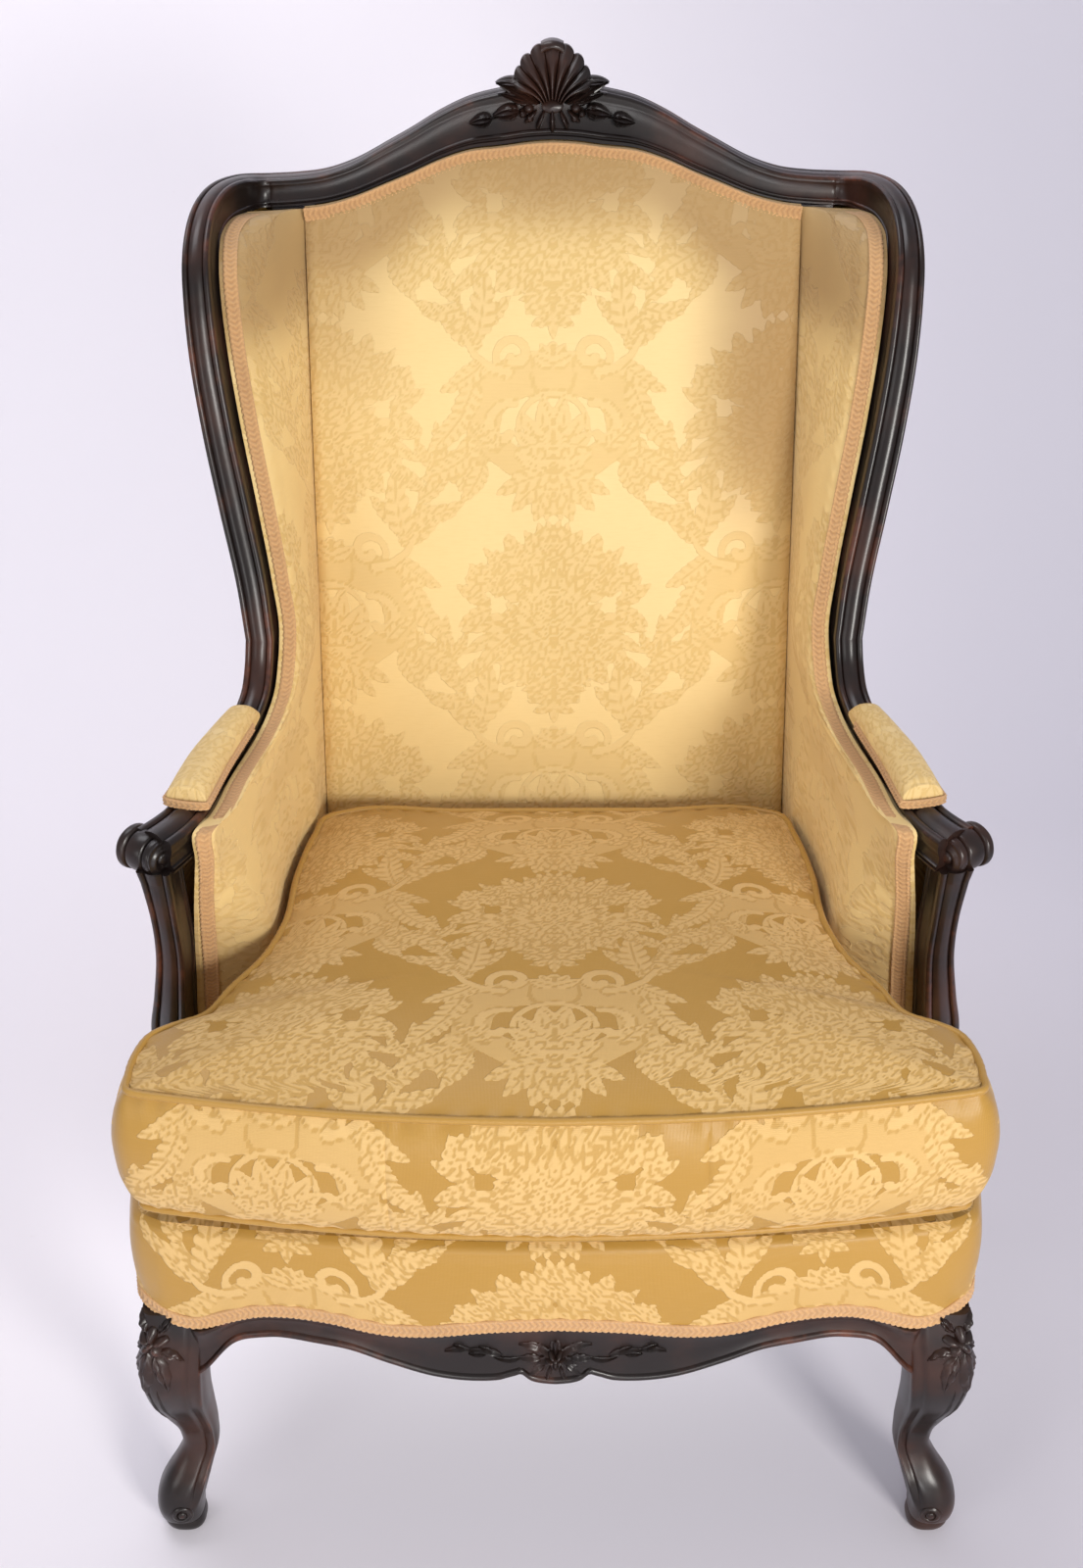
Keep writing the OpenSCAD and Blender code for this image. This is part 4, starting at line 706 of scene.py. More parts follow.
# Stations of the wings, arms and supports: shares of the way, turns in degrees, and girths
crestD = backY(crest["endZ"]) + crest["thick"] / 2
wings = dict(flare=0.044, topZ=1.047)
wingStations = [
    ((0, 0, 0), (0, 0, 10), (0.96, 1)),
    ((0.13, 0.06, 0.12), (0, 0, 11), (1, 1)),
    ((0.43, 0.15, 0.30), (0, 0, 13), (1.04, 1)),
    ((0.73, 0.235, 0.49), (0, 0, 14), (1.04, 1)),
    ((0.93, 0.30, 0.68), (0, 0, 14), (1, 1)),
    ((0.99, 0.34, 0.78), (3, 8, 14), (0.96, 1)),
    ((1.02, 0.39, 0.865), (6, 20, 14), (0.92, 0.98)),
    ((1.01, 0.48, 0.93), (12, 42, 14), (0.90, 0.93)),
    ((0.94, 0.60, 0.975), (20, 68, 12), (0.90, 0.88)),
    ((0.74, 0.75, 1), (36, 84, 8), (0.98, 0.84)),
    ((0.42, 0.88, 1), (62, 90, 0), (1.16, 0.80))]
armStations = [
    ((0, 0, 0), (0, 0, 10), (0.96, 1)),
    ((0.02, 0.04, 0.35), (0, 20, 8), (0.96, 1)),
    ((0.05, 0.10, 0.63), (0, 45, 6), (0.98, 0.97)),
    ((0.13, 0.18, 0.82), (0, 68, 4), (1, 0.90)),
    ((0.21, 0.28, 0.92), (4, 84, 0), (1, 0.79)),
    ((0.48, 0.56, 0.97), (10, 90, 0), (1.25, 0.71)),
    ((0.66, 0.83, 1), (14, 90, 0), (1.38, 0.71)),
    ((0.82, 0.925, 1), (24, 90, 0), (1.54, 0.74)),
    ((1, 1, 1), (36.87, 90, 0), (1.64, 0.79))]
grip = dict(r=0.018, w=0.046, drop=0.0015, yaw=36.87, inner=-0.20, outer=0.60)
supportStations = [
    ((0, 0, 0), (1.15, 1.08)),
    ((0.27, -0.3, 0.2), (1.27, 1.08)),
    ((0.48, 0.5, 1), (1.08, 1.03)),
    ((0.70, 1, 1), (0.92, 1)),
    ((0.86, 0.7, 0.75), (0.88, 0.95)),
    ((1, 0, 0), (1, 0.95))]
supportTurn = (12, 0, 8)
supportBow = (0.007, 0.008)
supportD = 0.212
supportTop = arm["z"] - 2 * grip["r"] - 0.004


def armGirth(girth):
    return arm["width"] * girth[0], arm["depth"] * girth[1]


def fromJoint(station, end):
    # A station between the wing joint and an end, in the way that row gives it
    shares, turns, girth = station
    joint = arm["x"], arm["jointD"], arm["jointZ"]
    spot = [mix(a, b, share) for a, b, share in zip(joint, end, shares)]
    return row(spot, *turned(*turns), *armGirth(girth))


def wingRow(i):
    return fromJoint(wingStations[i], (arm["x"] + wings["flare"], crestD, wings["topZ"]))


def armRow(i):
    return fromJoint(armStations[i], (arm["gripX"], arm["gripD"], arm["z"]))


def supportRow(i):
    (a, draw, sag), girth = supportStations[i]
    foot = float(sideX(supportD)[0]) - arm["width"] / 2
    spot = (mix(foot, arm["gripX"], a) - supportBow[0] * draw,
            mix(supportD, arm["gripD"] - grip["r"] * 0.9, a) - supportBow[1] * sag,
            mix(seat["railTop"], supportTop, a))
    return row(spot, *turned(*supportTurn), *armGirth(girth))


def member(shape, rows, flutes=None):
    # A moulded rail through dense rows
    rings, wear = [], []
    for i, r in enumerate(rows):
        e1, e2 = unit(r[3:6]), r[6:9]
        section = mould(r[9], r[10], 0.0 if flutes is None else flutes[i])
        rings.append(r[:3] + section[:, :1] * e1 + section[:, 1:2] * e2)
        wear.append(section[:, 2])
    shape.grid(rings, around=True, caps=True, flip=True, wear=wear)


def leaf(shape, on, x, y, heading, length, width, bend=0.0, lobes=4, high=0.0030, base=-0.001, flutes=0,
         blunt=False):
    # A carved leaf on a face; on(p, q, h) gives the point that stands h off it
    t = np.linspace(0, 1, 26)
    turn = np.radians(heading) + bend * (t - 0.2)
    step = length / (len(t) - 1)
    px = x + np.concatenate([[0], np.cumsum(np.cos(turn[:-1]) * step)])
    py = y + np.concatenate([[0], np.cumsum(np.sin(turn[:-1]) * step)])
    body = np.sin(np.pi * t ** 0.72) ** 0.85
    if blunt:
        body = (0.40 + 0.60 * t ** 0.8) * np.sqrt(np.clip(1 - t ** 5, 0, 1))
        body = body * np.sqrt(np.minimum(1, t / 0.08))
    if lobes:
        body = body * (0.80 + 0.20 * ((t * lobes) % 1))
    tt, cc = crossed(t, np.linspace(-1, 1, 13))
    wide = (width * body)[:, None] * cc
    p = px[:, None] - np.sin(turn)[:, None] * wide
    q = py[:, None] + np.cos(turn)[:, None] * wide
    dome = (1 - np.abs(cc) ** 2.2) * (0.35 + 0.65 * np.sin(np.pi * np.clip(tt, 0, 1) ** 0.8))
    if flutes:
        dome = dome * (0.72 + 0.28 * np.cos(cc * math.pi * flutes))
    elif not blunt:
        groove = 1 - 0.35 * np.exp(-(cc / 0.16) ** 2)
        dome = dome * groove * (0.9 + 0.1 * np.cos(2 * np.pi * (tt * max(lobes, 3) - np.abs(cc))))
    near = on(p, q, base + high * dome)
    shape.both(near, on(p, q, base - 0.002 + 0 * p), wear=dome)


def boss(shape, on, x, y, r, high, base=-0.003):
    # A small round berry or knob
    turn = allRound(20)
    lift = np.radians(np.linspace(0, 90, 7))
    rr, aa = crossed(r * np.cos(lift), turn)
    hh = np.broadcast_to((np.sin(lift) * high)[:, None], rr.shape)
    shape.grid(on(x + rr * np.cos(aa), y + rr * np.sin(aa), base + hh), around=True, wear=hh / high)


def volute(shape, centre, axis, up, r, thick, side=1):
    # A disc with a rolled spiral and a round eye, its face turned along axis
    axis, up = unit(np.asarray(axis, float)), np.asarray(up, float)
    across = np.cross(up, axis)
    ss, aa = crossed(np.linspace(1, 0.001, 20), allRound(48))
    coil = (ss * 1.5 - side * aa / (2 * math.pi)) % 1
    ridge = 0.55 + 0.45 * np.cos(2 * np.pi * coil)
    eye = np.sqrt(np.clip(1 - (ss / 0.40) ** 2, 0, 1))
    high = np.where(ss < 0.40, 0.35 + 0.9 * eye, ridge * ease((ss - 0.40) / 0.12)) * (1 - ss ** 10)
    flat = centre + across * (r * ss * np.cos(aa))[..., None] + up * (r * ss * np.sin(aa))[..., None]
    face = flat + axis * (thick * (0.4 + 0.6 * high))[..., None]
    skirt = flat[:1] - axis * 0.004
    shape.grid(np.concatenate([skirt, face]), around=True, caps=True,
               wear=np.concatenate([0 * high[:1], high * 0.9]))


# Crest rail with its shell
def crestFace(x, z, h):
    # A point standing h before the crest's front face
    return np.stack([x, backY(z) - h, z], axis=-1)


crestPiece = Shape()
endShrink = 0.85
crestRows = [np.array(crestRow(x)) for x in np.linspace(-crest["half"], crest["half"], 161)]
for r in (crestRows[0], crestRows[-1]):    # ends shrunk to lie inside the wings
    r[9:] *= endShrink
member(crestPiece, crestRows)
shell = dict(foot=1.0995, ribs=9, spread=62.0, bulge=0.014, back=0.013, wide=1.16, flare=0.007,
             footLow=1.1020, rollZ=1.1535)
shellRim = table([(0, 0.058), (9, 0.0565), (18, 0.0535), (25, 0.051), (34, 0.0475), (43, 0.0435),
                  (50, 0.042), (62, 0.036)])
angles = np.linspace(-shell["spread"], shell["spread"], 181)
aa, ss = crossed(angles, np.linspace(0.16, 1, 30))
rib = np.abs(np.sin(np.pi * (aa / shell["spread"] * shell["ribs"] / 2 + 0.5)))
lobe = 1 - 0.075 * (1 - rib ** 0.6)
rim = shellRim(np.abs(angles))[:, None] * np.where(ss > 0.7, mix(1, lobe, (ss - 0.7) / 0.3), 1) * ss
sprung = np.radians(aa) * (0.50 + 0.50 * ease(ss * 1.05))
height = shell["bulge"] * np.sin(np.pi * (ss * 0.80 + 0.12)) ** 0.7 * (0.45 + 0.55 * rib ** 0.55)
height += 0.002 * np.exp(-((aa % 13.8 - 6.9) / 1.4) ** 2) * ss
xs = shell["wide"] * rim * np.sin(sprung) + shell["flare"] * aa / shell["spread"] * (1 - ss)
zs = shell["foot"] + rim * np.cos(sprung)
rear = crestFace(xs, zs, -shell["back"] * np.sqrt(np.clip(1.02 - ss ** 4, 0, 1)))
crestPiece.both(crestFace(xs, zs, height - 0.001), rear, wear=rib * ss)
for side in (-1, 1):
    wing = lambda p, q, h, side=side: crestFace(side * np.asarray(p), np.asarray(q), h)
    for x, z, heading, length, wide, bend, lobes, high, flutes in (
            (0.011, 1.1040, 36, 0.046, 0.0135, -0.75, 3, 0.0115, 5),
            (0.023, 1.1180, 12, 0.029, 0.0068, -0.4, 2, 0.0105, 3),
            (0.017, 1.1050, 14, 0.034, 0.0056, 0.0, 2, 0.009, 3)):
        leaf(crestPiece, wing, x, z, heading, length, wide, bend, lobes, high, flutes=flutes)
    for x, z, r in ((0.0215, 1.1005, 0.0052), (0.0270, 1.0955, 0.0040), (0.0205, 1.0915, 0.0040)):
        boss(crestPiece, wing, x, z, r, 0.0085)
    for x, heading, length, wide, high in (
            (0.0070, -66, 0.0175, 0.0036, 0.0075), (0.0140, -44, 0.0155, 0.0033, 0.0068)):
        leaf(crestPiece, wing, x, 1.0985, heading, length, wide, 0, 0, high, blunt=True)
    for x, z, length, wide in ((0.030, 1.0985, 0.0250, 0.0078), (0.055, 1.0915, 0.0215, 0.0066)):
        leaf(crestPiece, wing, x, z, -10, length, wide, 0.0, 0, 0.0105, 0.001, 3)
        for rise, heading, bend in ((-0.0018, -26, 0.5), (0.0018, 8, -0.5)):
            leaf(crestPiece, wing, x + 0.001, z + rise, heading, length * 0.66, wide * 0.42, bend, 0,
                 0.0085, 0.001)
        leaf(crestPiece, wing, x - 0.009, z + 0.0040, -28, 0.012, 0.0012, 0.3, 0, 0.0045, 0.001)
leaf(crestPiece, crestFace, 0.0, 1.1000, -90, 0.0205, 0.0040, 0, 0, 0.0085, blunt=True)
turn, lift = crossed(np.linspace(-1, 1, 25), np.linspace(-1, 1, 9))
roll = 0.0105 * turn, shell["rollZ"] - 0.0030 * turn ** 2 + 0.0042 * np.sin(lift * 1.57)
near = crestFace(*roll, 0.006 + 0.0045 * np.cos(lift * 1.57) * np.cos(turn * 1.3))
crestPiece.both(near, crestFace(*roll, np.full(turn.shape, -0.009)), wear=0.5)
turn, lift = crossed(allRound(40), np.linspace(0, 1, 9))
base = crestFace(0.010 * np.cos(turn) * (1 - lift ** 2),
                 shell["footLow"] + 0.0060 * np.sin(turn) * (1 - lift ** 2), 0.002 + 0.003 * lift)
crestPiece.grid(base.transpose(1, 0, 2), around=True, wear=0.2)
crestPiece.make("crest_rail_look", woodLook, "show_wood", ["crest_rail"])

# Wing frames: from the crest round the corner and down to the arm joint
wingRows = [crestRow(crest["half"] - 0.012), crestRow(crest["half"])]
wingRows = dense(wingRows + [wingRow(i) for i in range(10, -1, -1)], 196)
wingRows[0][9:] *= endShrink
wingPiece = Shape()
member(wingPiece, wingRows)
pair(wingPiece, "wing_frame", woodLook, "show_wood")

# Arm rails with fluted tops and scrolled grips
armRows = dense([armRow(i) for i in range(9)], 170)
stations = np.interp(armRows[:, 1], [armRow(i)[1] for i in range(8, -1, -1)], range(8, -1, -1))
carved = ease((stations - 6.02) / 0.14)
armPiece = Shape()
member(armPiece, armRows, carved)
yaw = math.radians(grip["yaw"])
gripAxis, gripUp = np.array([math.cos(yaw), math.sin(yaw), 0]), np.array([0, 0, 1.0])
gripAhead = np.array([math.sin(yaw), -math.cos(yaw), 0])
gripAt = np.array([arm["gripX"], arm["gripD"], arm["z"] - grip["r"] - grip["drop"]])


def gripRadius(s):
    # The roll's radius at a share of its length, with three bands running over it
    q = (s - grip["inner"]) / (grip["outer"] - grip["inner"]) - 0.5
    band = np.clip(1 - (q / 0.22) ** 2, 0, 1)
    bead = np.exp(-((np.abs(q) - 0.37) / 0.085) ** 4)
    quirk = np.exp(-((np.abs(q) - 0.245) / 0.032) ** 2)
    end = np.exp(-((0.5 - np.abs(q)) / 0.025) ** 2)
    r = grip["r"] * (0.82 + 0.22 * (q + 0.5)) + 0.0012 * band + 0.0010 * bead
    return r - 0.0026 * quirk - 0.002 * end, band + bead


s, a = crossed(np.linspace(grip["inner"], grip["outer"], 81), allRound(72))
r, lobes = gripRadius(s)
points = gripAt + gripAxis * (grip["w"] * s)[..., None]
points = points + gripUp * (r * np.sin(a))[..., None] + gripAhead * (r * np.cos(a))[..., None]
armPiece.grid(points, around=True, caps=True, wear=lobes * 0.8)
for side, share, place in ((-1, 0.90, grip["inner"]), (1, 1.02, grip["outer"])):
    end = gripAt + gripAxis * (grip["w"] * place - side * 0.0015)
    volute(armPiece, end, gripAxis * side, gripUp, grip["r"] * share * 0.93, 0.0042, side)
neck = dense([supportRow(i) for i in (4, 5)], 12)[-1]
necks = []    # the support's top goes on up into the grip
for t in np.linspace(0, 1, 12):
    ring = neck.copy()
    ring[:3] = neck[:3] + np.array([0.001, -0.002, 0.012]) * t
    ring[9:] *= mix(1, 1.12, t)
    necks.append(ring)
member(armPiece, necks)
pair(armPiece, "arm_rail", woodLook, "show_wood")

# Arm supports with a heel over the side rail
supportPiece = Shape()
member(supportPiece, dense([supportRow(i) for i in range(6)], 110))
railFront = frontY(seat["half"] - 0.025) + 0.058
borderEnd = supportD - seat["rebate"]
heel = dict(near=borderEnd + gap, far=supportD + arm["depth"] * 0.8, high=0.078, over=0.00325)
rings = []
for z in np.linspace(seat["showZ"], seat["railTop"] + heel["over"], 24):
    full = 0.0020 * math.sin(math.pi * np.clip((z - seat["showZ"]) / heel["high"], 0, 1)) ** 0.5
    ys = np.linspace(heel["near"], heel["far"], 22)
    share = (ys - heel["near"]) / (heel["far"] - heel["near"])
    bulge = full + 0.0012 * np.abs(np.sin(1.5 * np.pi * np.clip(share * 1.25, 0, 1))) - 0.0022
    inner = [[sideX(y)[0] - seat["rebate"] + gap, y, z] for y in ys[::-1]]
    outer = sideX(ys) + bulge * np.minimum(1, share * 12) ** 0.5
    rings.append([[x, y, z] for x, y in zip(outer, ys)] + inner)
supportPiece.grid(rings, around=True, caps=True, wear=0.3)
pair(supportPiece, "arm_support", woodLook, "show_wood")

# Front legs
leg = dict(width=0.050, kick=0.017, blockIn=seat["half"] - 0.050, cutIn=seat["half"] - 0.022, cutR=0.014,
           cutD=0.033, edgeLine=-2.34, edge=0.0021, knee=-1.12, kneeR=0.034)
legFront = float(frontY(seat["half"] - 0.025))
legShares = np.array([[0, 0.30, 0.68, 0.15, 0.72, 2.6], [0.05, 0.60, 0.76, 0.35, 0.84, 2.6],
                      [0.11, 0.74, 0.83, 0.55, 0.98, 2.5], [0.16, 0.62, 0.86, 0.45, 0.96, 2.5],
                      [0.215, 0.20, 0.80, 0.10, 0.80, 2.6], [0.26, -0.30, 0.70, -0.40, 0.66, 2.7],
                      [0.31, -0.72, 0.64, -0.80, 0.60, 2.8], [0.38, -0.70, 0.66, -0.85, 0.64, 2.9],
                      [0.49, -0.16, 0.84, -0.25, 0.84, 2.9], [0.60, 0.34, 1.02, 0.55, 1.06, 3.0],
                      [0.70, 0.50, 1.09, 0.90, 1.26, 3.3], [0.81, 0.34, 1.05, 0.80, 1.34, 3.8],
                      [0.895, 0.08, 1.02, 0.53, 1.28, 5.0], [1.0, 0, 1.0, 0, 1.16, 7.0]])


def legSection(z):
    # Centre, half sizes and squareness of a leg at height z
    k = hermite(legShares[:, 0], legShares[:, 1:], np.atleast_1d(z / seat["showZ"]))[0]
    x, y = seat["half"] + leg["kick"] * k[0], legFront - leg["kick"] * k[2]
    wide, deep = leg["width"] * k[1] / 2, leg["width"] * k[3] / 2
    return x - wide, y + deep, wide, deep, k[4]


def legPoint(z, angle, grow=0.0):
    cx, cy, wide, deep, n = legSection(z)
    c, q = math.cos(angle), math.sin(angle)
    r = (abs(c / wide) ** n + abs(q / deep) ** n) ** (-1 / n) + grow
    return [cx + r * c, cy + r * q, z]


frontLeg = Shape()
turns = allRound(120)
rings, wear = [], []
for z in np.concatenate([[0.0, 0.0015], np.linspace(0.004, seat["showZ"] - 0.004, 96)]):
    ring, rubbed = [], []
    share = z / seat["showZ"]
    toe = math.exp(-((z - 0.012) / 0.0022) ** 2) * 0.0016
    tuck = 0.0022 * math.exp(-(z / 0.0015) ** 2)
    strong = float(ease((share - 0.10) / 0.1) * ease((1.0 - share) / 0.08))
    for q in turns:
        off = (q - leg["edgeLine"] + math.pi) % (2 * math.pi) - math.pi
        line = math.exp(-(off / 0.10) ** 2) - 1.1 * math.exp(-((off - 0.24) / 0.10) ** 2)
        ring.append(legPoint(z, q, leg["edge"] * line * strong - toe - tuck))
        rubbed.append(max(0.0, line * strong))
    rings.append(ring)
    wear.append(rubbed)
frontLeg.grid(rings, around=True, caps=True, wear=wear)
plan = [[x, float(frontY(x)) + seat["rebate"]] for x in np.linspace(leg["blockIn"], leg["cutIn"], 4)]
plan += [[leg["cutIn"] + leg["cutR"] * math.sin(q), leg["cutD"] - leg["cutR"] * math.cos(q)]
         for q in np.radians([15, 30, 45, 60, 75, 90])]
plan += [[seat["half"] - seat["rebate"], railFront], [leg["blockIn"], railFront]]
blockEnds = seat["showZ"] * 0.88, seat["railTop"]
frontLeg.grid([[[*p, z] for p in plan] for z in blockEnds], around=True, caps=True)


def kneeFace(p, q, h):
    # The rounded outer front of the knee: p runs across it, q is the height
    p, q, h = np.broadcast_arrays(np.asarray(p, float), np.asarray(q, float), np.asarray(h, float))
    made = [legPoint(z, leg["knee"] - x / leg["kneeR"], up)
            for x, z, up in zip(p.ravel(), q.ravel(), h.ravel())]
    return np.array(made).reshape(p.shape + (3,))


for k in range(5):
    leaf(frontLeg, kneeFace, 0.000, 0.2420, 90 + 72 * k, 0.0150, 0.0060, 0.0, 0, 0.0072, blunt=True)
boss(frontLeg, kneeFace, 0.000, 0.2420, 0.0038, 0.0100)
for x, z, heading, length, wide, bend in (
        (-0.003, 0.232, -96, 0.050, 0.0105, 0.15), (0.003, 0.231, -66, 0.042, 0.0085, -0.5),
        (-0.006, 0.231, -122, 0.040, 0.0080, 0.5), (0.005, 0.235, -14, 0.026, 0.0058, -0.6),
        (-0.007, 0.235, -160, 0.022, 0.0055, 0.5), (0.004, 0.252, 40, 0.020, 0.0048, 0.5),
        (-0.004, 0.252, 130, 0.018, 0.0048, -0.4)):
    leaf(frontLeg, kneeFace, x, z, heading, length, wide, bend, 3, 0.0064)
for k in (-1, 1):
    leaf(frontLeg, kneeFace, 0.0045 * k, 0.195, -90, 0.066, 0.0019, 0.12 * k, 0, 0.0026)
cx, cy, wide, deep, n = legSection(0.030)
for spot, axis, r, thick, side in (
        ((cx - 0.0040, cy - deep + 0.0016, 0.0290), (-0.15, -0.98, 0.1), 0.0098, 0.0030, 1),
        ((cx + wide - 0.0020, cy, 0.0300), (1.0, 0, 0), 0.0075, 0.0016, -1)):
    volute(frontLeg, np.array(spot), axis, (0, 0, 1.0), r, thick, side)
pair(frontLeg, "front_leg", woodLook, "show_wood")


# Front and side rails: a beaded lower edge under a slightly hollow face
def lip(low, top):
    # Offset behind the face and height, with wear, from the inner top edge down and round
    t, l, r, high, under = (seat[k] for k in ("railT", "lipT", "rebate", "railTop", "railBottom"))
    beadR = 0.0036
    inside = [(r, high, 0), (t, high, 0), (t, under, 0), (l, under, 0), (l, low + 0.0006, 0)]
    bead = [(beadR + a, low + beadR + b, 1) for a, b in arc(0, 0, beadR, 260, 100, 9)]
    face = [(0.0034, low + 0.0078, 0), (0.0016, low + 0.0090, 0.3)]
    face += [(0.0016 + 0.0020 * math.sin(math.pi * q), mix(low + 0.009, top - 0.006, q), 0)
             for q in (0.15, 0.35, 0.55, 0.75, 0.9)]
    edge = [(0.0012, top - 0.0055, 0.2), (0.0006, top - 0.0030, 0.8), (0.0015, top - 0.0008, 1),
            (0.0036, top, 0.4), (r, top, 0)]
    return inside + bead + face + edge


def apronEdge(x):
    # The lower edge, with cusps either side of the middle flower
    x = np.abs(np.asarray(x, float))
    edge = apronLine(x)
    for high, place, wide in ((0.0030, 0.028, 0.0040), (-0.0012, 0, 0.014), (0.0034, 0.272, 0.013)):
        edge = edge + high * np.exp(-((x - place) / wide) ** 2)
    return edge


apron = dict(half=0.308, shapedTo=0.2945, flowerZ=0.2415)
frontRail = Shape()
rings, wear = [], []
for x in np.linspace(-apron["half"], apron["half"], 249):
    low = min(float(apronEdge(min(abs(x), apron["shapedTo"]))[0]), seat["railBottom"] - gap)
    low -= max(0.0, abs(x) - apron["shapedTo"]) * 0.9
    face = lip(low, float(showLine(x)[0]))
    ahead = 0.0065 * float(ease((abs(x) - 0.255) / 0.035) * ease((0.307 - abs(x)) / 0.010))
    rings.append([[x, float(frontY(x)) + a - ahead * (a < seat["rebate"]), z] for a, z, w in face])
    wear.append([w for a, z, w in face])
frontRail.grid(rings, around=True, caps=True, wear=wear)


def apronFace(x, z, h):
    return np.stack([x, frontY(x) + 0.0025 - h, z], axis=-1)


flower = frontRail, apronFace, 0.0, apron["flowerZ"]
for k in range(6):
    leaf(*flower, 90 + 60 * k, 0.0170, 0.0072, 0.0, 2, 0.0075, flutes=2, blunt=True)
for k in range(5):
    leaf(*flower, 54 + 72 * k, 0.0090, 0.0042, 0.0, 0, 0.0105, blunt=True)
boss(*flower, 0.0036, 0.0125)
for side in (-1, 1):
    face = lambda p, q, h, side=side: apronFace(side * np.asarray(p), np.asarray(q), h)
    for x, z, heading, length, wide, bend in (
            (0.010, 0.246, 30, 0.022, 0.0070, -0.6), (0.012, 0.238, -6, 0.020, 0.0066, 0.5),
            (0.009, 0.231, -48, 0.021, 0.0066, 0.6), (0.004, 0.230, -80, 0.020, 0.0050, 0.3),
            (0.028, 0.2385, -14, 0.024, 0.0034, 0.9), (0.044, 0.2395, 24, 0.030, 0.0050, -0.7),
            (0.050, 0.2415, 42, 0.016, 0.0036, -0.6), (0.056, 0.2430, -12, 0.016, 0.0036, 0.5),
            (0.070, 0.2460, 4, 0.022, 0.0046, -0.6), (0.074, 0.2465, 34, 0.012, 0.0030, -0.5)):
        leaf(frontRail, face, x, z, heading, length, wide, bend, 3, 0.0046, flutes=2)
frontRail.make("front_rail_look", woodLook, "show_wood", ["front_rail"])

sideDrop = table([(0, 1), (0.08, 0.74), (0.2, 0.5), (0.38, 0.42), (0.55, 0.60), (0.72, 0.66),
                  (0.86, 0.52), (1, 0.62)])
sideRail = Shape()
rings, wear = [], []
for d in np.linspace(railFront - 0.010, seat["depth"], 122):
    low = seat["showZ"] - 0.058 * float(sideDrop(max(0, d - railFront) / (seat["depth"] - railFront))[0])
    face = lip(low, seat["showZ"])
    close = float(ease((d - 0.47) / (seat["depth"] - 0.47)))
    rings.append([[float(sideX(d)[0]) - a, mix(d, min(d, backY(z)), close), z] for a, z, w in face])
    wear.append([w for a, z, w in face])
sideRail.grid(rings, around=True, caps=True, wear=wear)
pair(sideRail, "side_rail", woodLook, "show_wood")

# Back posts, sweeping back as legs below the rails
postSweep = table([(0, 1), (0.12, 0.84), (0.30, 0.58), (0.55, 0.26), (0.80, 0.07), (1, 0)])
postTaper = table([(0, 0.72), (0.30, 0.80), (0.80, 1), (1, 1)])
backPost = Shape()
rings = []
for z in np.concatenate([[0, 0.0012], np.linspace(0.004, seat["railBottom"], 50),
                         [seat["railTop"], float(crestBottom(crest["half"])[0]) - gap]]):
    t = min(z / seat["railBottom"], 1)
    girth = float(postTaper(t)[0]) - (0.05 if z == 0 else 0)
    y = backY(max(z, seat["railBottom"])) + (0.128 * float(postSweep(t)[0]) if t < 1 else 0)
    wide, deep = back["postW"] * girth / 2, back["postT"] * (0.6 + 0.4 * girth) / 2
    n = mix(5.0, 9.0, t ** 6)
    ring = []
    for q in allRound(40):
        r = (abs(math.cos(q) / wide) ** n + abs(math.sin(q) / deep) ** n) ** (-1 / n)
        ring.append([back["postX"] + r * math.cos(q), y + deep + r * math.sin(q), z])
    rings.append(ring)
backPost.grid(rings, around=True, caps=True, wear=0.15)
pair(backPost, "back_post", woodLook, "show_wood")
print("frame built")


# Upholstery: fields of cloth over smooth grids
def along(points, step):
    # Points spaced evenly by about step along a line, with the distance of each
    points = np.asarray(points, float)
    at = travelled(points)
    even = np.linspace(0, at[-1], max(3, int(at[-1] / step)))
    return hermite(at, points, even), even


def refine(step, *grids):
    # Denser smooth grids through the rows and columns of coarse ones
    grid = np.concatenate(grids, axis=2)

    def spread(g):
        at = travelled(g[:, g.shape[1] // 2, :3])
        return hermite(at, g, np.linspace(0, at[-1], max(3, int(at[-1] / step))))
    fine = spread(spread(grid).swapaxes(0, 1)).swapaxes(0, 1)
    return [fine[..., 3 * k:3 * k + 3] for k in range(len(grids))]


def runs(grid):
    # Distance along the rows and along the columns of a grid
    across = np.linalg.norm(np.diff(grid, axis=1), axis=2)
    down = np.linalg.norm(np.diff(grid, axis=0), axis=2)
    u = np.concatenate([np.zeros((len(grid), 1)), np.cumsum(across, axis=1)], axis=1)
    v = np.concatenate([np.zeros((1, grid.shape[1])), np.cumsum(down, axis=0)], axis=0)
    return u, v


def gridNormal(grid):
    return unit(np.cross(np.gradient(grid, axis=1), np.gradient(grid, axis=0)))


gimpForm = dict(step=0.0011, scallop=0.0052, twist=0.0036, rib=0.0050, cord=0.0017, ribHigh=0.0013,
                thick=0.0006)


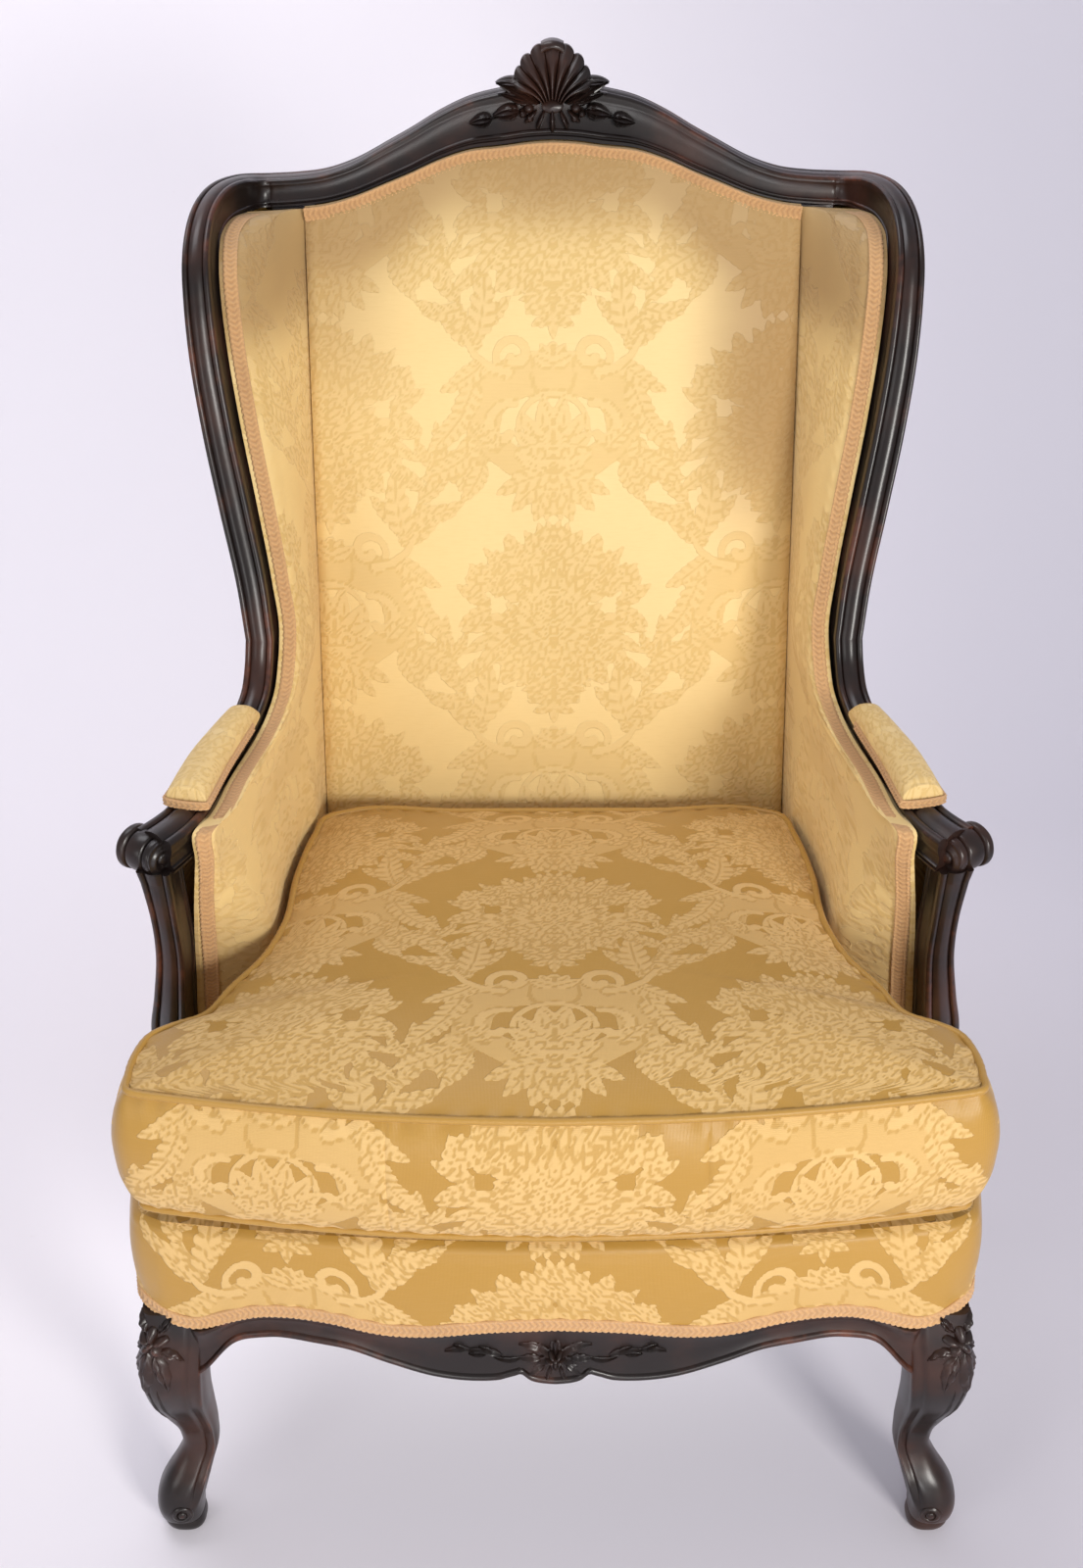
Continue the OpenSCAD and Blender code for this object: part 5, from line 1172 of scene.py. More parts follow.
def braidStrip(shape, centre, across, out, wide, ragged=1.0, bow=0.0):
    # A gimp along a line: two cords, chevrons between them and a scalloped lower edge
    centre, across, out = (np.asarray(v, float) for v in (centre, across, out))
    at = travelled(centre)
    form = gimpForm
    run = np.linspace(0, at[-1], max(3, int(at[-1] / form["step"])))
    packed = hermite(at, np.concatenate([centre, across, out], axis=1), run)
    bulge = np.interp(run, at, bow + np.zeros(len(at)))[:, None]
    centre, across, out = packed[:, :3], unit(packed[:, 3:6]), unit(packed[:, 6:])
    rr, cc = crossed(run, np.linspace(-1, 1, 17))
    scallop = np.abs(np.sin(np.pi * rr / form["scallop"])) ** 0.5
    frill = np.where(cc < 0, 0.26, 0.05) * (scallop - 0.5) * ragged * np.abs(cc)
    cords = np.exp(-((np.abs(cc) - 0.80) / 0.14) ** 2)
    cords = cords * (0.70 + 0.30 * np.sin(2 * np.pi * rr / form["twist"]))
    ribs = 0.5 + 0.5 * np.cos(2 * np.pi * (rr / form["rib"] - np.abs(cc) * 0.75))
    ribs = ribs * (np.abs(cc) < 0.66)
    high = form["thick"] + form["cord"] * cords + form["ribHigh"] * ribs * (0.6 + 0.4 * np.cos(cc * 3.6))
    arch = bulge * (1 - cc ** 2)
    flat = centre[:, None] + across[:, None] * (wide / 2 * cc * (1 + frill))[..., None]
    near = flat + out[:, None] * (high + arch)[..., None]
    far = flat + out[:, None] * (arch - form["thick"])[..., None]
    cloth = np.stack([rr, wide * cc, np.zeros_like(rr)], axis=-1)
    shape.both(near, far, wear=np.clip(cords + ribs * 0.8, 0, 1), cloth=cloth)


# Thicknesses of the padding and cloth, and where the damask's bouquets lie on each piece
soft = dict(edge=0.009, belly=0.015, side=0.012, border=0.009, gimp=0.012, cloth=0.0016, web=0.0016,
            panel=0.004, sunk=0.0035, armHigh=0.022)
bouquets = dict(back=0.661, side=0.541, sideIn=0.045, outside=0.56, seat=0.233, stretch=1.18)
padLow = deckTop + 0.002
padHalf = back["clear"] + soft["side"] * 0.62
padBack = 2 * soft["web"] + 3 * gap
fullness = table([(0, 0.2), (0.1, 0.35), (0.3, 1), (0.5, 0.9), (0.84, 0.45), (0.955, 0.1), (1, 0)])
padEdge = table([(0, 1), (0.88, 1), (0.955, 0.9), (1, 0.7)])


def backFore(u, t):
    # How far the back's padding stands before the webbing, at shares of its width and height
    return padBack + soft["edge"] * padEdge(t) + soft["belly"] * (1 - np.abs(u) ** 3) * fullness(t)


# Back padding, its foot tucked behind the cushion
u, t = np.meshgrid(np.linspace(-1, 1, 206), np.linspace(0, 1, 320))
x = padHalf * u
z = mix(padLow, crestBottom(x) - gap, t)
drag = 0.0007 * np.sin(34 * u + 5 * t) * np.exp(-((np.abs(u) - 0.97) / 0.08) ** 2)
fore = backFore(u, t) + drag
fore -= 0.0045 * np.clip((np.abs(u) - 0.955) / 0.045, 0, 1) ** 2
near = np.stack([x, backY(z) - fore, z], axis=-1)
far = np.stack([x, backY(z) - padBack, z], axis=-1)
lean = math.cos(math.atan(back["rake"]))
# Painted shade of the wings and crest together with soil, darkest at the top and upper right; also darker
# at the foot, behind the cushion
soil = 0.95 * ease((z - 0.62) / 0.26) * ease((x - 0.08) / 0.13)    # most of it upper right
soil = soil + 0.6 * ease((z - 0.76) / 0.22) * ease((-x - 0.08) / 0.12)
soil = np.minimum(soil + 0.9 * ease((z - 0.94) / 0.12) + 0.25 * ease((0.44 - z) / 0.06), 1)
backPad = Shape()
backPad.pad(near, far, **damaskFields(x, (z - bouquets["back"]) / lean, soil))
backPad.make("back_pad_look", paleLook, "faded_damask", ["back_pad"], soft=0.5)

# The gimp under the crest rail and on to the wing's corner
xs = np.linspace(-padHalf, padHalf, 90)
top = crestBottom(xs) - gap
z = top - soft["gimp"] / 2
t = (z - padLow) / (top - padLow)
line = np.stack([xs, backY(z) - backFore(xs / padHalf, t) - gap, z], axis=-1)
slope = unit(np.gradient(line, axis=0))
facing = np.tile([0, -1.0, -0.1], (len(xs), 1))
backGimp = Shape()
braidStrip(backGimp, line, -np.cross(slope, facing), facing, soft["gimp"])
backGimp.make("back_gimp_look", gimpLook, "gimp", ["back_gimp"])
print("back padded")


# Inside arms and wings: each row runs from the wood's inner face back to the crease
def frameSpots(into, expose, wingExpose):
    # Where cloth meets the supports, arms and wings, at shares of the wood's width and depth
    def spot(r, e):
        return r[:3] + unit(r[3:6]) * r[9] / 2 * into + r[6:9] * r[10] * e

    supports = [np.array(supportRow(i)) for i in range(6)]
    for r in supports:
        r[10] = arm["depth"]
    low = [spot(r, expose[0]) for r in supports]
    middle = []
    for k in range(8):
        i = min(7, 8 - k)
        r = np.array(armRow(i))
        r[10] = arm["depth"]
        along = armStations[i][2][1] + 0.02 if k == 0 else mix(expose[1], expose[2], ((8 - i) / 8) ** 2)
        middle.append(spot(r, along))
    high = [spot(np.array(wingRow(i)), np.interp(i, *np.array(wingExpose).T)) for i in range(11)]
    first = mix(low[0], low[1], (padLow - seat["railTop"]) / (low[1][2] - seat["railTop"]))
    return [first] + low[1:] + middle + high


frameTurns = [supportTurn] * 6 + [armStations[min(7, 8 - k)][1] for k in range(8)]
frameTurns += [station[1] for station in wingStations]
creaseShares = [0, 0.05, 0.13, 0.21, 0.27, 0.32, 0.335, 0.348, 0.36, 0.375, 0.39, 0.41, 0.43, 0.46, 0.49,
                0.56, 0.66, 0.76, 0.86, 0.91, 0.945, 0.965, 0.98, 0.99, 1]
creaseTop = float(crestBottom(crest["half"])[0]) - 2 * gap
rolled = 0.010    # width of the pad's rolled front edge
innerSpots = frameSpots(1, (0.95, 0.14, 0.52), [(0, 0.5), (5, 0.62), (8, 0.82), (10, 0.95)])
innerSpots[4], innerSpots[5] = (mix(innerSpots[3], innerSpots[6], k) for k in (0.45, 0.82))


def padLine(i):
    # One row of the side pad, from the wood's edge to the crease, with its back, normals and way
    e, z = innerSpots[i], mix(padLow, creaseTop, creaseShares[i])
    c = np.array([padHalf + gap, backY(z) - padBack, z])
    run = c - e
    length = np.linalg.norm(run)
    e1 = np.array(turned(*frameTurns[i])[0])
    near, far, normals = [], [], []
    ahead = soft["side"] * np.interp(i, (4, 5, 7, 13, 15), (0, 0.2, 0.35, 0.35, 0))
    for k in range(6):
        share = (0, min(rolled / length, 0.15), min(0.032 / length, 0.35), 0.45, 0.7, 1)[k]
        n = unit(mix(e1, np.array([-1.0, 0, 0]), share))
        held = 0 if k == 5 else ahead * (0.35 if k == 0 else 1)
        lift = 2 * gap + soft["side"] * (0.25, 1, 1.04, 0.85, 0.35, 0)[k] + held
        near.append(e + run * share + n * (lift if k < 5 else 0))
        far.append(e + run * share + n * (gap + soft["side"] * (0, 0, 0, 0, -0.15, -1)[k] + held))
        normals.append(n)
    return np.array(near), np.array(far), np.array(normals), unit(run)


lines = [padLine(i) for i in range(len(innerSpots))]
leanings = [[unit(p[2][0] * rolled - p[3] * soft["side"] * 0.75)] * 6 for p in lines]
near, far, leanings = refine(0.0026, [p[0] for p in lines], [p[1] for p in lines], leanings)
waist = table([(0.109, 0.288), (0.151, 0.269), (0.197, 0.248), (0.244, 0.238), (0.339, 0.2364),
               (0.417, 0.229), (0.454, 0.2214)])    # the cushion's half width at each depth
run, rise = runs(near)
wide = run[:, -1:]
full = ease(run / 0.05) * ease((0.61 - near[..., 2]) / 0.13)
beside = waist(np.clip(near[..., 1], 0.109, 0.454)) + 0.0105
near[..., 0] -= full * np.maximum(near[..., 0] - beside, 0)
u = wide - run + bouquets["sideIn"]
v = near[..., 2] - bouquets["side"]
edge = np.exp(-((run - 0.022) / 0.0045) ** 2)
pucker = 0.0006 * edge * np.sin(rise[:, :1] * 420 + 2 * np.sin(rise[:, :1] * 60))
near = near + gridNormal(near) * pucker[..., None] * np.sign(-gridNormal(near)[..., :1] + 1e-9)
soil = ease((near[..., 2] - 0.86) / 0.13)
soil = soil + 0.5 * ease((0.60 - near[..., 2]) / 0.12) * ease(1 - run / 0.12)
sidePad = Shape()
sidePad.pad(near, far, **damaskFields(u, v, soil))
pair(sidePad, "side_pad", paleLook, "faded_damask", soft=0.5)
sideGimpAt = 0.0004
a, b, mid = [], [], []
for j in range(len(near)):
    for spots, place in ((a, sideGimpAt), (mid, sideGimpAt + 0.006), (b, sideGimpAt + 0.012)):
        spots.append([np.interp(place, run[j], near[j, :, k]) for k in range(3)])
a, b, mid = np.array(a), np.array(b), np.array(mid)
out = unit(leanings[:, 0])
bow = ((mid - (a + b) / 2) * out).sum(axis=1)
sideGimp = Shape()
braidStrip(sideGimp, (a + b) / 2 + out * 0.0012, b - a, out, 0.0122, 1.0, bow)
pair(sideGimp, "side_gimp", gimpLook, "gimp")
print("wings padded")


# Outside panels
def outsideRow(i, outward):
    # One row of the outside panel, from the show-wood back to the post
    o, z = outerStarts[i], outerRear[i]
    i -= len(lowZ) - 2
    yawTurn = (0, 0, 0) if i < 2 else frameTurns[max(i - 3, 0)]
    postOut = back["postX"] + back["postW"] / 2
    r = np.array([postOut, backY(z) + back["postT"] * 0.92, z])
    hug = 1 - float(ease((z - seat["railTop"]) / (arm["z"] - seat["railTop"])))
    made = []
    for s in (0, 0.12, 0.26, 0.42, 0.58, 0.78, 1):
        p = mix(o, r, s)
        rail = max(float(sideX(min(p[1], seat["depth"]))[0]) - seat["rebate"], postOut)
        n = unit(mix(-np.array(turned(*yawTurn)[0]), np.array([1.0, 0, 0]), min(1, s * 3)))
        free = 0.0015 if i < 3 and 0 < s < 1 else soft["panel"] * (1 - s) if 6 < i < 12 else 0
        base = np.array([rail if i < 2 else mix(p[0], max(p[0], rail), hug), p[1], p[2]])
        made.append(base + n * (gap + free + outward))
    return made


outerSpots = frameSpots(-1, (1.02, 0.62, 0.75), [(0, 0.80), (1, 1.02), (10, 1.03)])
lowD = supportD + arm["depth"] * 0.8 + gap
foot = np.array(supportRow(0))
foot = foot[:3] - unit(foot[3:6]) * foot[9] / 2 + foot[6:9] * foot[10] * 1.02
lowShares = 0, 0.3, 0.55, 0.75, 0.88, 0.95, 0.98, 1
lowZ = [mix(seat["showZ"] + gap, seat["railTop"] - 2 * gap, s) for s in lowShares]
outerStarts = [np.array([float(sideX(lowD)[0]) - seat["rebate"], lowD, z]) for z in lowZ]
outerStarts += [np.array([foot[0], foot[1], seat["railTop"] - gap])] + outerSpots
outerRear = lowZ + [seat["railTop"] - gap] + [mix(padLow, creaseTop, s) for s in creaseShares]
faces = [[outsideRow(i, h) for i in range(len(outerStarts))] for h in (soft["panel"], -soft["sunk"])]
near, far = refine(0.0034, *faces)
run, rise = runs(near)
outside = Shape()
outside.pad(near, far, **damaskFields(run - run[:, -1:] / 2, near[..., 2] - bouquets["outside"], 0.1))
pair(outside, "outside_side", goldLook, "damask", soft=0.15)

# Outside back
u, t = np.meshgrid(np.linspace(-1, 1, 150), np.linspace(0, 1, 240))
x = (back["postX"] + back["postW"] / 2) * u
z = mix(seat["railBottom"] + gap, crestBottom(x) - 0.002, t)
full = soft["panel"] + 0.003 * (1 - u * u) * np.sin(np.pi * t) - 0.003 * np.abs(u) ** 24
y = backY(z) + back["postT"] + gap
outBack = Shape()
outBack.pad(np.stack([x, y + full, z], -1), np.stack([x, y, z], -1),
            **damaskFields(x, (z - bouquets["back"]) / lean, 0.05))
outBack.make("outside_back_look", goldLook, "damask", ["outside_back"], soft=0.15)


# Arm pads on the flat of the arm rails, with gimp round their feet
def armAt(share):
    i = np.clip(share * 8, 0, 7.999)
    r = hermite(np.arange(9.0), np.array([armRow(k) for k in range(9)]), np.atleast_1d(i))
    return r[:, :3], unit(r[:, 3:6]), r[:, 9]


padFull = table([(0.431, 0.35), (0.4625, 0.72), (0.5125, 0.93), (0.575, 1), (0.669, 1), (0.706, 0.95),
                 (0.731, 0.82), (0.741, 0.62), (0.744, 0.30)])
armPadEnds = 0.431, 0.744
shares = np.concatenate([np.linspace(armPadEnds[0], 0.735, 84), np.linspace(0.737, armPadEnds[1], 9)])
spot, across, wide = armAt(shares)
q = np.radians(np.linspace(176, 4, 44))
half = wide / 2 + 0.0008
high = soft["armHigh"] * padFull(shares)
sideways = half[:, None] * np.sign(np.cos(q)) * np.abs(np.cos(q)) ** 0.8
near = spot[:, None] + across[:, None] * sideways[..., None]
near[..., 2] += gap + high[:, None] * (0.26 + 0.74 * np.abs(np.sin(q)) ** 0.9)
near = np.concatenate([near[:, :1], near, near[:, -1:]], axis=1)
near[:, 0, 2] = near[:, -1, 2] = spot[:, 2] + gap    # the sides come down to the rail
far = near.copy()
far[..., 2] = (spot[:, 2] + gap)[:, None]
run, rise = runs(near)
armPad = Shape()
armPad.pad(near, far, **damaskFields(run - run[:, -1:] / 2, rise + 0.02, 0.25))
pair(armPad, "arm_pad", paleLook, "faded_damask", soft=0.7)
shares = np.linspace(0.51, armPadEnds[1], 60)
spot, across, wide = armAt(shares)
half = wide / 2 + 0.0012
inner, outer = spot + across * half[:, None], spot - across * half[:, None]
ahead = unit(np.cross(across[-1], [0, 0, 1.0]))
ahead = ahead if ahead[1] < 0 else -ahead
bend, turn = [], []    # round the front end
for s in np.linspace(0.04, 0.96, 22):
    bend.append(mix(inner[-1], outer[-1], s) + ahead * 0.0035 * math.sin(math.pi * s) ** 0.5)
    turn.append(unit(mix(across[-1], -across[-1], s) + ahead * 2 * math.sin(math.pi * s)))
loop = np.concatenate([inner, bend, outer[::-1]]) + [0, 0, 0.0040]
ways = np.concatenate([across, turn, -across[::-1]])
armGimp = Shape()
braidStrip(armGimp, loop, np.tile([0, 0, 1.0], (len(loop), 1)), ways, 0.0075, 0.4)
pair(armGimp, "arm_pad_gimp", gimpLook, "gimp")
print("arms padded")

# Front border round both corners, and its gimp
corner = dict(r=0.022, x=seat["half"] - 0.022, y=seat["corner"] + 0.022, swell=0.0028)
half = [[float(sideX(y)[0]), y] for y in np.linspace(borderEnd, railFront, 24)]
for q in np.radians(np.linspace(0, 78, 8)):
    half.append([corner["x"] + corner["r"] * math.cos(q) + corner["swell"] * math.cos(q) ** 3,
                 corner["y"] - corner["r"] * math.sin(q)])
half += [[x, float(frontY(x))] for x in np.linspace(corner["x"], 0, 60)]
plan = np.array(half + [[-x, y] for x, y in half[-2::-1]])
borderTop = deckTop - 0.010


def planPath(step):
    # The seat's edge smoothed, with its length, outward way and the border's lower edge
    path, run = along(plan, step)
    for _ in range(12):
        path[1:-1] = (path[:-2] + 2 * path[1:-1] + path[2:]) / 4
    ahead = unit(np.gradient(path, axis=0))
    shown = showLine(np.minimum(np.abs(path[:, 0]), seat["half"]))
    low = np.where(path[:, 1] > corner["y"], seat["showZ"], shown)
    soften = np.ones(9) / 9
    low[4:-4] = np.convolve(low, soften, "valid")
    return path, run - run[-1] / 2, np.stack([-ahead[:, 1], ahead[:, 0]], -1), low + 5 * gap


path, run, way, low = planPath(0.0024)
way = way * np.sign(-way[len(way) // 2, 1])
swellOut = table([(0, 1), (0.2, 1.16), (0.45, 1.3), (0.70, 1.22), (0.86, 0.95), (0.95, 0.55), (1, -0.2)])
rows, heights = [], np.concatenate([np.linspace(0, 0.86, 30), np.linspace(0.88, 1, 14)])
for t in heights:
    out = soft["border"] * (float(swellOut(t)[0]) if t > 0 else 0.95) - seat["rebate"] + gap
    rows.append(np.column_stack([path + way * out, mix(low, borderTop, t)]))
for inward in (0.006, 0.014, 0.024, 0.034, 0.044):
    rows.append(np.column_stack([path - way * inward, np.full(len(path), borderTop + gap)]))
near = np.array(rows)
_, rise = runs(near)
wrinkle = 0.0005 * np.sin(run * 260 + 3 * np.sin(run * 31))
wrinkle = wrinkle * np.exp(-((heights[:, None] - 0.12) / 0.10) ** 2)
near[:len(heights), :, :2] += way * wrinkle[..., None]
far = near.copy()
depths = np.concatenate([np.full(len(heights), seat["rebate"]), np.linspace(0.01, 0.044, 5)])
far[..., :2] = path - way * depths[:, None, None]
far[len(heights):, :, 2] = seat["railTop"] + 0.003
border = Shape()
border.pad(near, far, **damaskFields(run + 0 * rise, 0.008 + rise, 0.1))
border.make("front_border_look", goldLook, "damask", ["front_border"], soft=0.5)
out = soft["border"] * 1.09 - seat["rebate"] + gap
line = np.column_stack([path + way * out, low + soft["gimp"] * 0.46])[::2]
facing = np.column_stack([way, np.full(len(path), 0.06)])[::2]
slope = np.gradient(line, axis=0)
upward = np.cross(slope, facing)
upward = upward * np.sign(upward[:, 2:])
frontGimp = Shape()
braidStrip(frontGimp, line, upward, facing, soft["gimp"], 1.3)
frontGimp.make("front_gimp_look", gimpLook, "gimp", ["front_gimp"])


# Seat: deck, hessian, webbing and the dust cover
def seatGrid(frontIn, sideIn, rear, z, count):
    # A flat grid over the seat's plan, set in from its front and sides
    u, t = np.meshgrid(np.linspace(-1, 1, count), np.linspace(0, 1, count))
    y = mix(seat["corner"] + frontIn, rear, t)
    for _ in range(6):
        x = u * (sideX(y) - sideIn)
        y = mix(frontY(x) + frontIn, rear, t)
    return np.stack([x, y, z + 0 * x], axis=-1), u, t


inset = dict(deck=0.0459, netFront=0.014, netSide=0.017, coverFront=0.020, coverSide=0.028)
top, u, t = seatGrid(inset["deck"], inset["deck"], seat["depth"] - 2 * gap, deckTop - 0.0006, 90)
base = seat["railTop"] + gap * 2 + soft["cloth"]
dome = 1 - np.maximum(np.abs(u), np.abs(2 * t - 1)) ** 14
top[..., 2] = mix(base + 0.012, deckTop - 0.0006, dome)
deck = Shape()
deck.pad(top, top * [1, 1, 0] + [0, 0, base], figure=-3.0, tone=1.0, soil=0.5, cloth=top)
deck.make("seat_deck_look", paleLook, "faded_damask", ["seat_deck"], soft=0.7)
sheetNet, u, t = seatGrid(inset["netFront"], inset["netSide"], seat["depth"] - 2 * gap,
                          seat["railTop"] + 0.0009, 70)
notch = (np.abs(sheetNet[..., 0]) > sideX(supportD) - 0.045) & (sheetNet[..., 1] > borderEnd)
cutBack = np.sign(sheetNet[..., 0]) * (sideX(sheetNet[..., 1]) - 0.047)
sheetNet[..., 0] = np.where(notch, cutBack, sheetNet[..., 0])
hessian = Shape()
hessian.grid(sheetNet)
net = hessian.make("spring_hessian_look", juteLook, "jute", ["spring_hessian"])


webZ = seat["railBottom"] - gap
cover, u, t = seatGrid(inset["coverFront"], inset["coverSide"], backY(seat["railBottom"]) - 0.002,
                       webZ - 2 * soft["web"] - 0.0018, 70)
block = (np.abs(cover[..., 0]) > leg["blockIn"] - 0.002) & (cover[..., 1] < railFront + 0.002)
cover[..., 0] = np.where(block, np.sign(cover[..., 0]) * (leg["blockIn"] - 0.003), cover[..., 0])
cover[..., 2] -= 0.0006 * (1 - u ** 2) * (1 - (2 * t - 1) ** 2)
dust = Shape()
dust.grid(cover)
under = dust.make("dust_cover_look", cambricLook, "cambric", ["dust_cover"])


def strap(shape, start, stop, side, out, thick, weave):
    # A length of webbing that passes over and under those it crosses
    start, stop, side, out = (np.array(v, float) for v in (start, stop, side, out))
    t = np.linspace(0, 1, 60)
    line = start + (stop - start) * t[:, None]
    near = np.stack([line + side * s for s in np.linspace(-1, 1, 9)], axis=1)
    near = near + out * (weave * 0.0003 * np.sin(math.pi * 7 * t))[:, None, None]
    cloth = near.copy()
    shape.both(near + out * thick / 2, near - out * thick / 2, cloth=cloth, wear=0.5)


web = dict(wide=0.050, reach=seat["railT"] * 0.72)
strapSpan = back["postX"] - back["postW"] / 4
straps, total = Shape(), 0.0
for k in (-0.84, -0.56, -0.28, 0, 0.28, 0.56, 0.84):
    x = strapSpan * k
    near = float(frontY(abs(x) + web["wide"] / 2)) + web["reach"]
    rear = backY(seat["railBottom"]) + back["postT"] * 0.6
    z = webZ - soft["web"] / 2
    strap(straps, (x, near, z), (x, rear, z), (web["wide"] / 2, 0, 0), (0, 0, 1), soft["web"] * 0.8, 0.4)
    total += rear - near
for k in (0.19, 0.31, 0.43, 0.55, 0.67, 0.78, 0.89):
    y = seat["depth"] * k
    x = float(sideX(y + web["wide"] / 2)[0]) - web["reach"]
    z = webZ - soft["web"] * 1.55
    strap(straps, (-x, y, z), (x, y, z), (0, web["wide"] / 2, 0), (0, 0, 1), soft["web"] * 0.8, 0.4)
    total += 2 * x
made = straps.make("seat_webbing_look", juteLook, "jute", ["seat_webbing"])
straps, total = Shape(), 0.0

# Back webbing, across and up the back
low, leanWay = padLow + 0.0432, unit(np.array([0, back["rake"], 1.0]))
behind = np.array([0, -leanWay[2], leanWay[1]])
for k in (0.12, 0.30, 0.48, 0.66, 0.84):
    z = mix(low, crest["endZ"], k)
    z += web["wide"] / 2
    mid = np.array([0, backY(z) - gap - soft["web"] / 2, z])
    half = np.array([back["clear"] + back["postW"] * 0.3, 0, 0])
    strap(straps, mid - half, mid + half, leanWay * web["wide"] / 2, behind, soft["web"] * 0.7, 0.0)
    total += 2 * half[0]
for k in (-0.6, -0.2, 0.2, 0.6):
    x = back["clear"] * k
    high = float(crestBottom(abs(x) + web["wide"] / 2)[0]) - 2 * gap
    off = -(gap * 1.5 + soft["web"] * 1.5)
    strap(straps, (x, backY(low) + off, low), (x, backY(high) + off, high), (web["wide"] / 2, 0, 0), behind,
          soft["web"] * 0.7, 0.0)
    total += (high - low) / lean
made = straps.make("back_webbing_look", juteLook, "jute", ["back_webbing"])
print("seat built")


# Loose cushion: a T in plan, crowned, with a boxing between two welts
pillow = dict(half=seat["half"] - 0.011, back=seat["depth"] - 0.032, front=0.022, ear=0.102, fall=0.018,
              crown=0.029, crownD=0.150, swell=0.017, welt=0.0032, low=deckTop + gap, high=0.117,
              step=0.0021, inset=0.0012)
pillow["deep"] = pillow["back"] + pillow["front"]
plan = [[pillow["half"] * a, pillow["deep"] * b - pillow["front"]] for a, b in
        ((0, 0), (0.27, 0.006), (0.54, 0.022), (0.78, 0.046), (0.90, 0.0605), (0.962, 0.069))]
plan += [[pillow["half"] * a, pillow["ear"] * (1 + b)] for a, b in
         ((0.992, -0.85), (1.0, -0.68), (0.997, -0.40), (0.975, -0.17), (0.925, -0.04))]
plan += [[pillow["half"] * a, pillow["deep"] * b - pillow["front"]] for a, b in
         ((0.865, 0.268), (0.808, 0.3545), (0.745, 0.449), (0.715, 0.545), (0.710, 0.74), (0.688, 0.90),
          (0.665, 0.975), (0.60, 1), (0.30, 1), (0, 1))]
plan = np.array(plan + [[-x, y] for x, y in plan[-2:0:-1]] + [plan[0]])
outline, girth = along(plan, pillow["step"])
outline, girth = outline[:-1], girth[:-1]
for _ in range(3):
    outline = (np.roll(outline, 1, axis=0) + 2 * outline + np.roll(outline, -1, axis=0)) / 4
ahead = unit(np.roll(outline, -1, axis=0) - np.roll(outline, 1, axis=0))
outward = np.stack([ahead[:, 1], -ahead[:, 0]], axis=-1)
girth = np.where(girth > girth[-1] / 2, girth - girth[-1] - pillow["step"], girth)
bearing = np.unwrap(np.arctan2(outline[:, 1] - pillow["crownD"], outline[:, 0]))
reach = np.hypot(outline[:, 0], outline[:, 1] - pillow["crownD"])
weltLow = pillow["low"] + soft["cloth"] + pillow["welt"]
weltTop = weltLow + pillow["high"]
boxOut = table([(0, 0), (0.10, 0.45), (0.25, 0.80), (0.45, 0.97), (0.70, 0.90), (0.88, 0.52), (1, 0)])


def dropBack(y):
    # How far the top welt falls towards the back
    return pillow["fall"] * np.clip((y - pillow["ear"]) / (pillow["back"] - pillow["ear"]), 0, 1) ** 1.5


def dents(x, y):
    # Shallow hollows left by sitting, and puckers that run in from the welt
    sat = 0.0016 * np.sin(9 * x + 2.2 * np.sin(7 * y)) * np.cos(11 * y + 1.3)
    return sat - 0.0030 * np.exp(-((x / 0.12) ** 2 + ((y - 0.27) / 0.11) ** 2))


def crownAt(x, y):
    # Height of the cushion's top at a place; k is its share of the way out to the welt
    dx, dy = x, y - pillow["crownD"]
    turn = (np.arctan2(dy, dx) - bearing[0]) % (2 * math.pi) + bearing[0]
    k = np.clip(np.hypot(dx, dy) / np.interp(turn, bearing, reach), 0, 1)
    rimY = pillow["crownD"] + dy / np.maximum(k, 0.02)
    girthAt = np.interp(turn, bearing, np.unwrap(girth, period=girth.max() - girth.min()))
    puckers = 0.0009 * np.sin(girthAt * 230 + 2.5 * np.sin(girthAt * 37))
    puckers = puckers * np.exp(-((1 - k) / 0.035) ** 2) * (k < 0.998)
    crowned = weltTop - k * dropBack(rimY) + pillow["crown"] * (1 - k ** 3.0)
    return crowned + dents(x, y) * (1 - k ** 8) + puckers


edgeX, edgeD = outline[:, 0], outline[:, 1]
flank = outline[(edgeX > pillow["half"] * 0.62) & (edgeD > 0.0075)]
flank = flank[np.argsort(flank[:, 1])]


def edgeY(part):
    # The depth of the front or rear edge at each place across
    points = outline[(edgeX >= 0) & part]
    points = points[np.argsort(points[:, 0])]
    return lambda x: np.interp(np.abs(x), points[:, 0], points[:, 1])


frontOf, rearOf = edgeY(edgeD < 0.03), edgeY(edgeD > pillow["back"] - 0.03)


def cushionFace(across, down):
    # Places over the cushion's plan, from the front edge to the back
    s, t = np.meshgrid(np.linspace(-1, 1, across), np.linspace(0, 1, down))
    y = mix(0.0, pillow["back"], t)
    for _ in range(30):
        x = s * np.interp(y, flank[:, 1], flank[:, 0])
        y = mix(y, mix(frontOf(x), rearOf(x), t), 0.6)
    dy = y - pillow["crownD"]
    k = 1 - pillow["inset"] / np.maximum(np.hypot(x, dy), 0.05)
    return x * k, pillow["crownD"] + dy * k


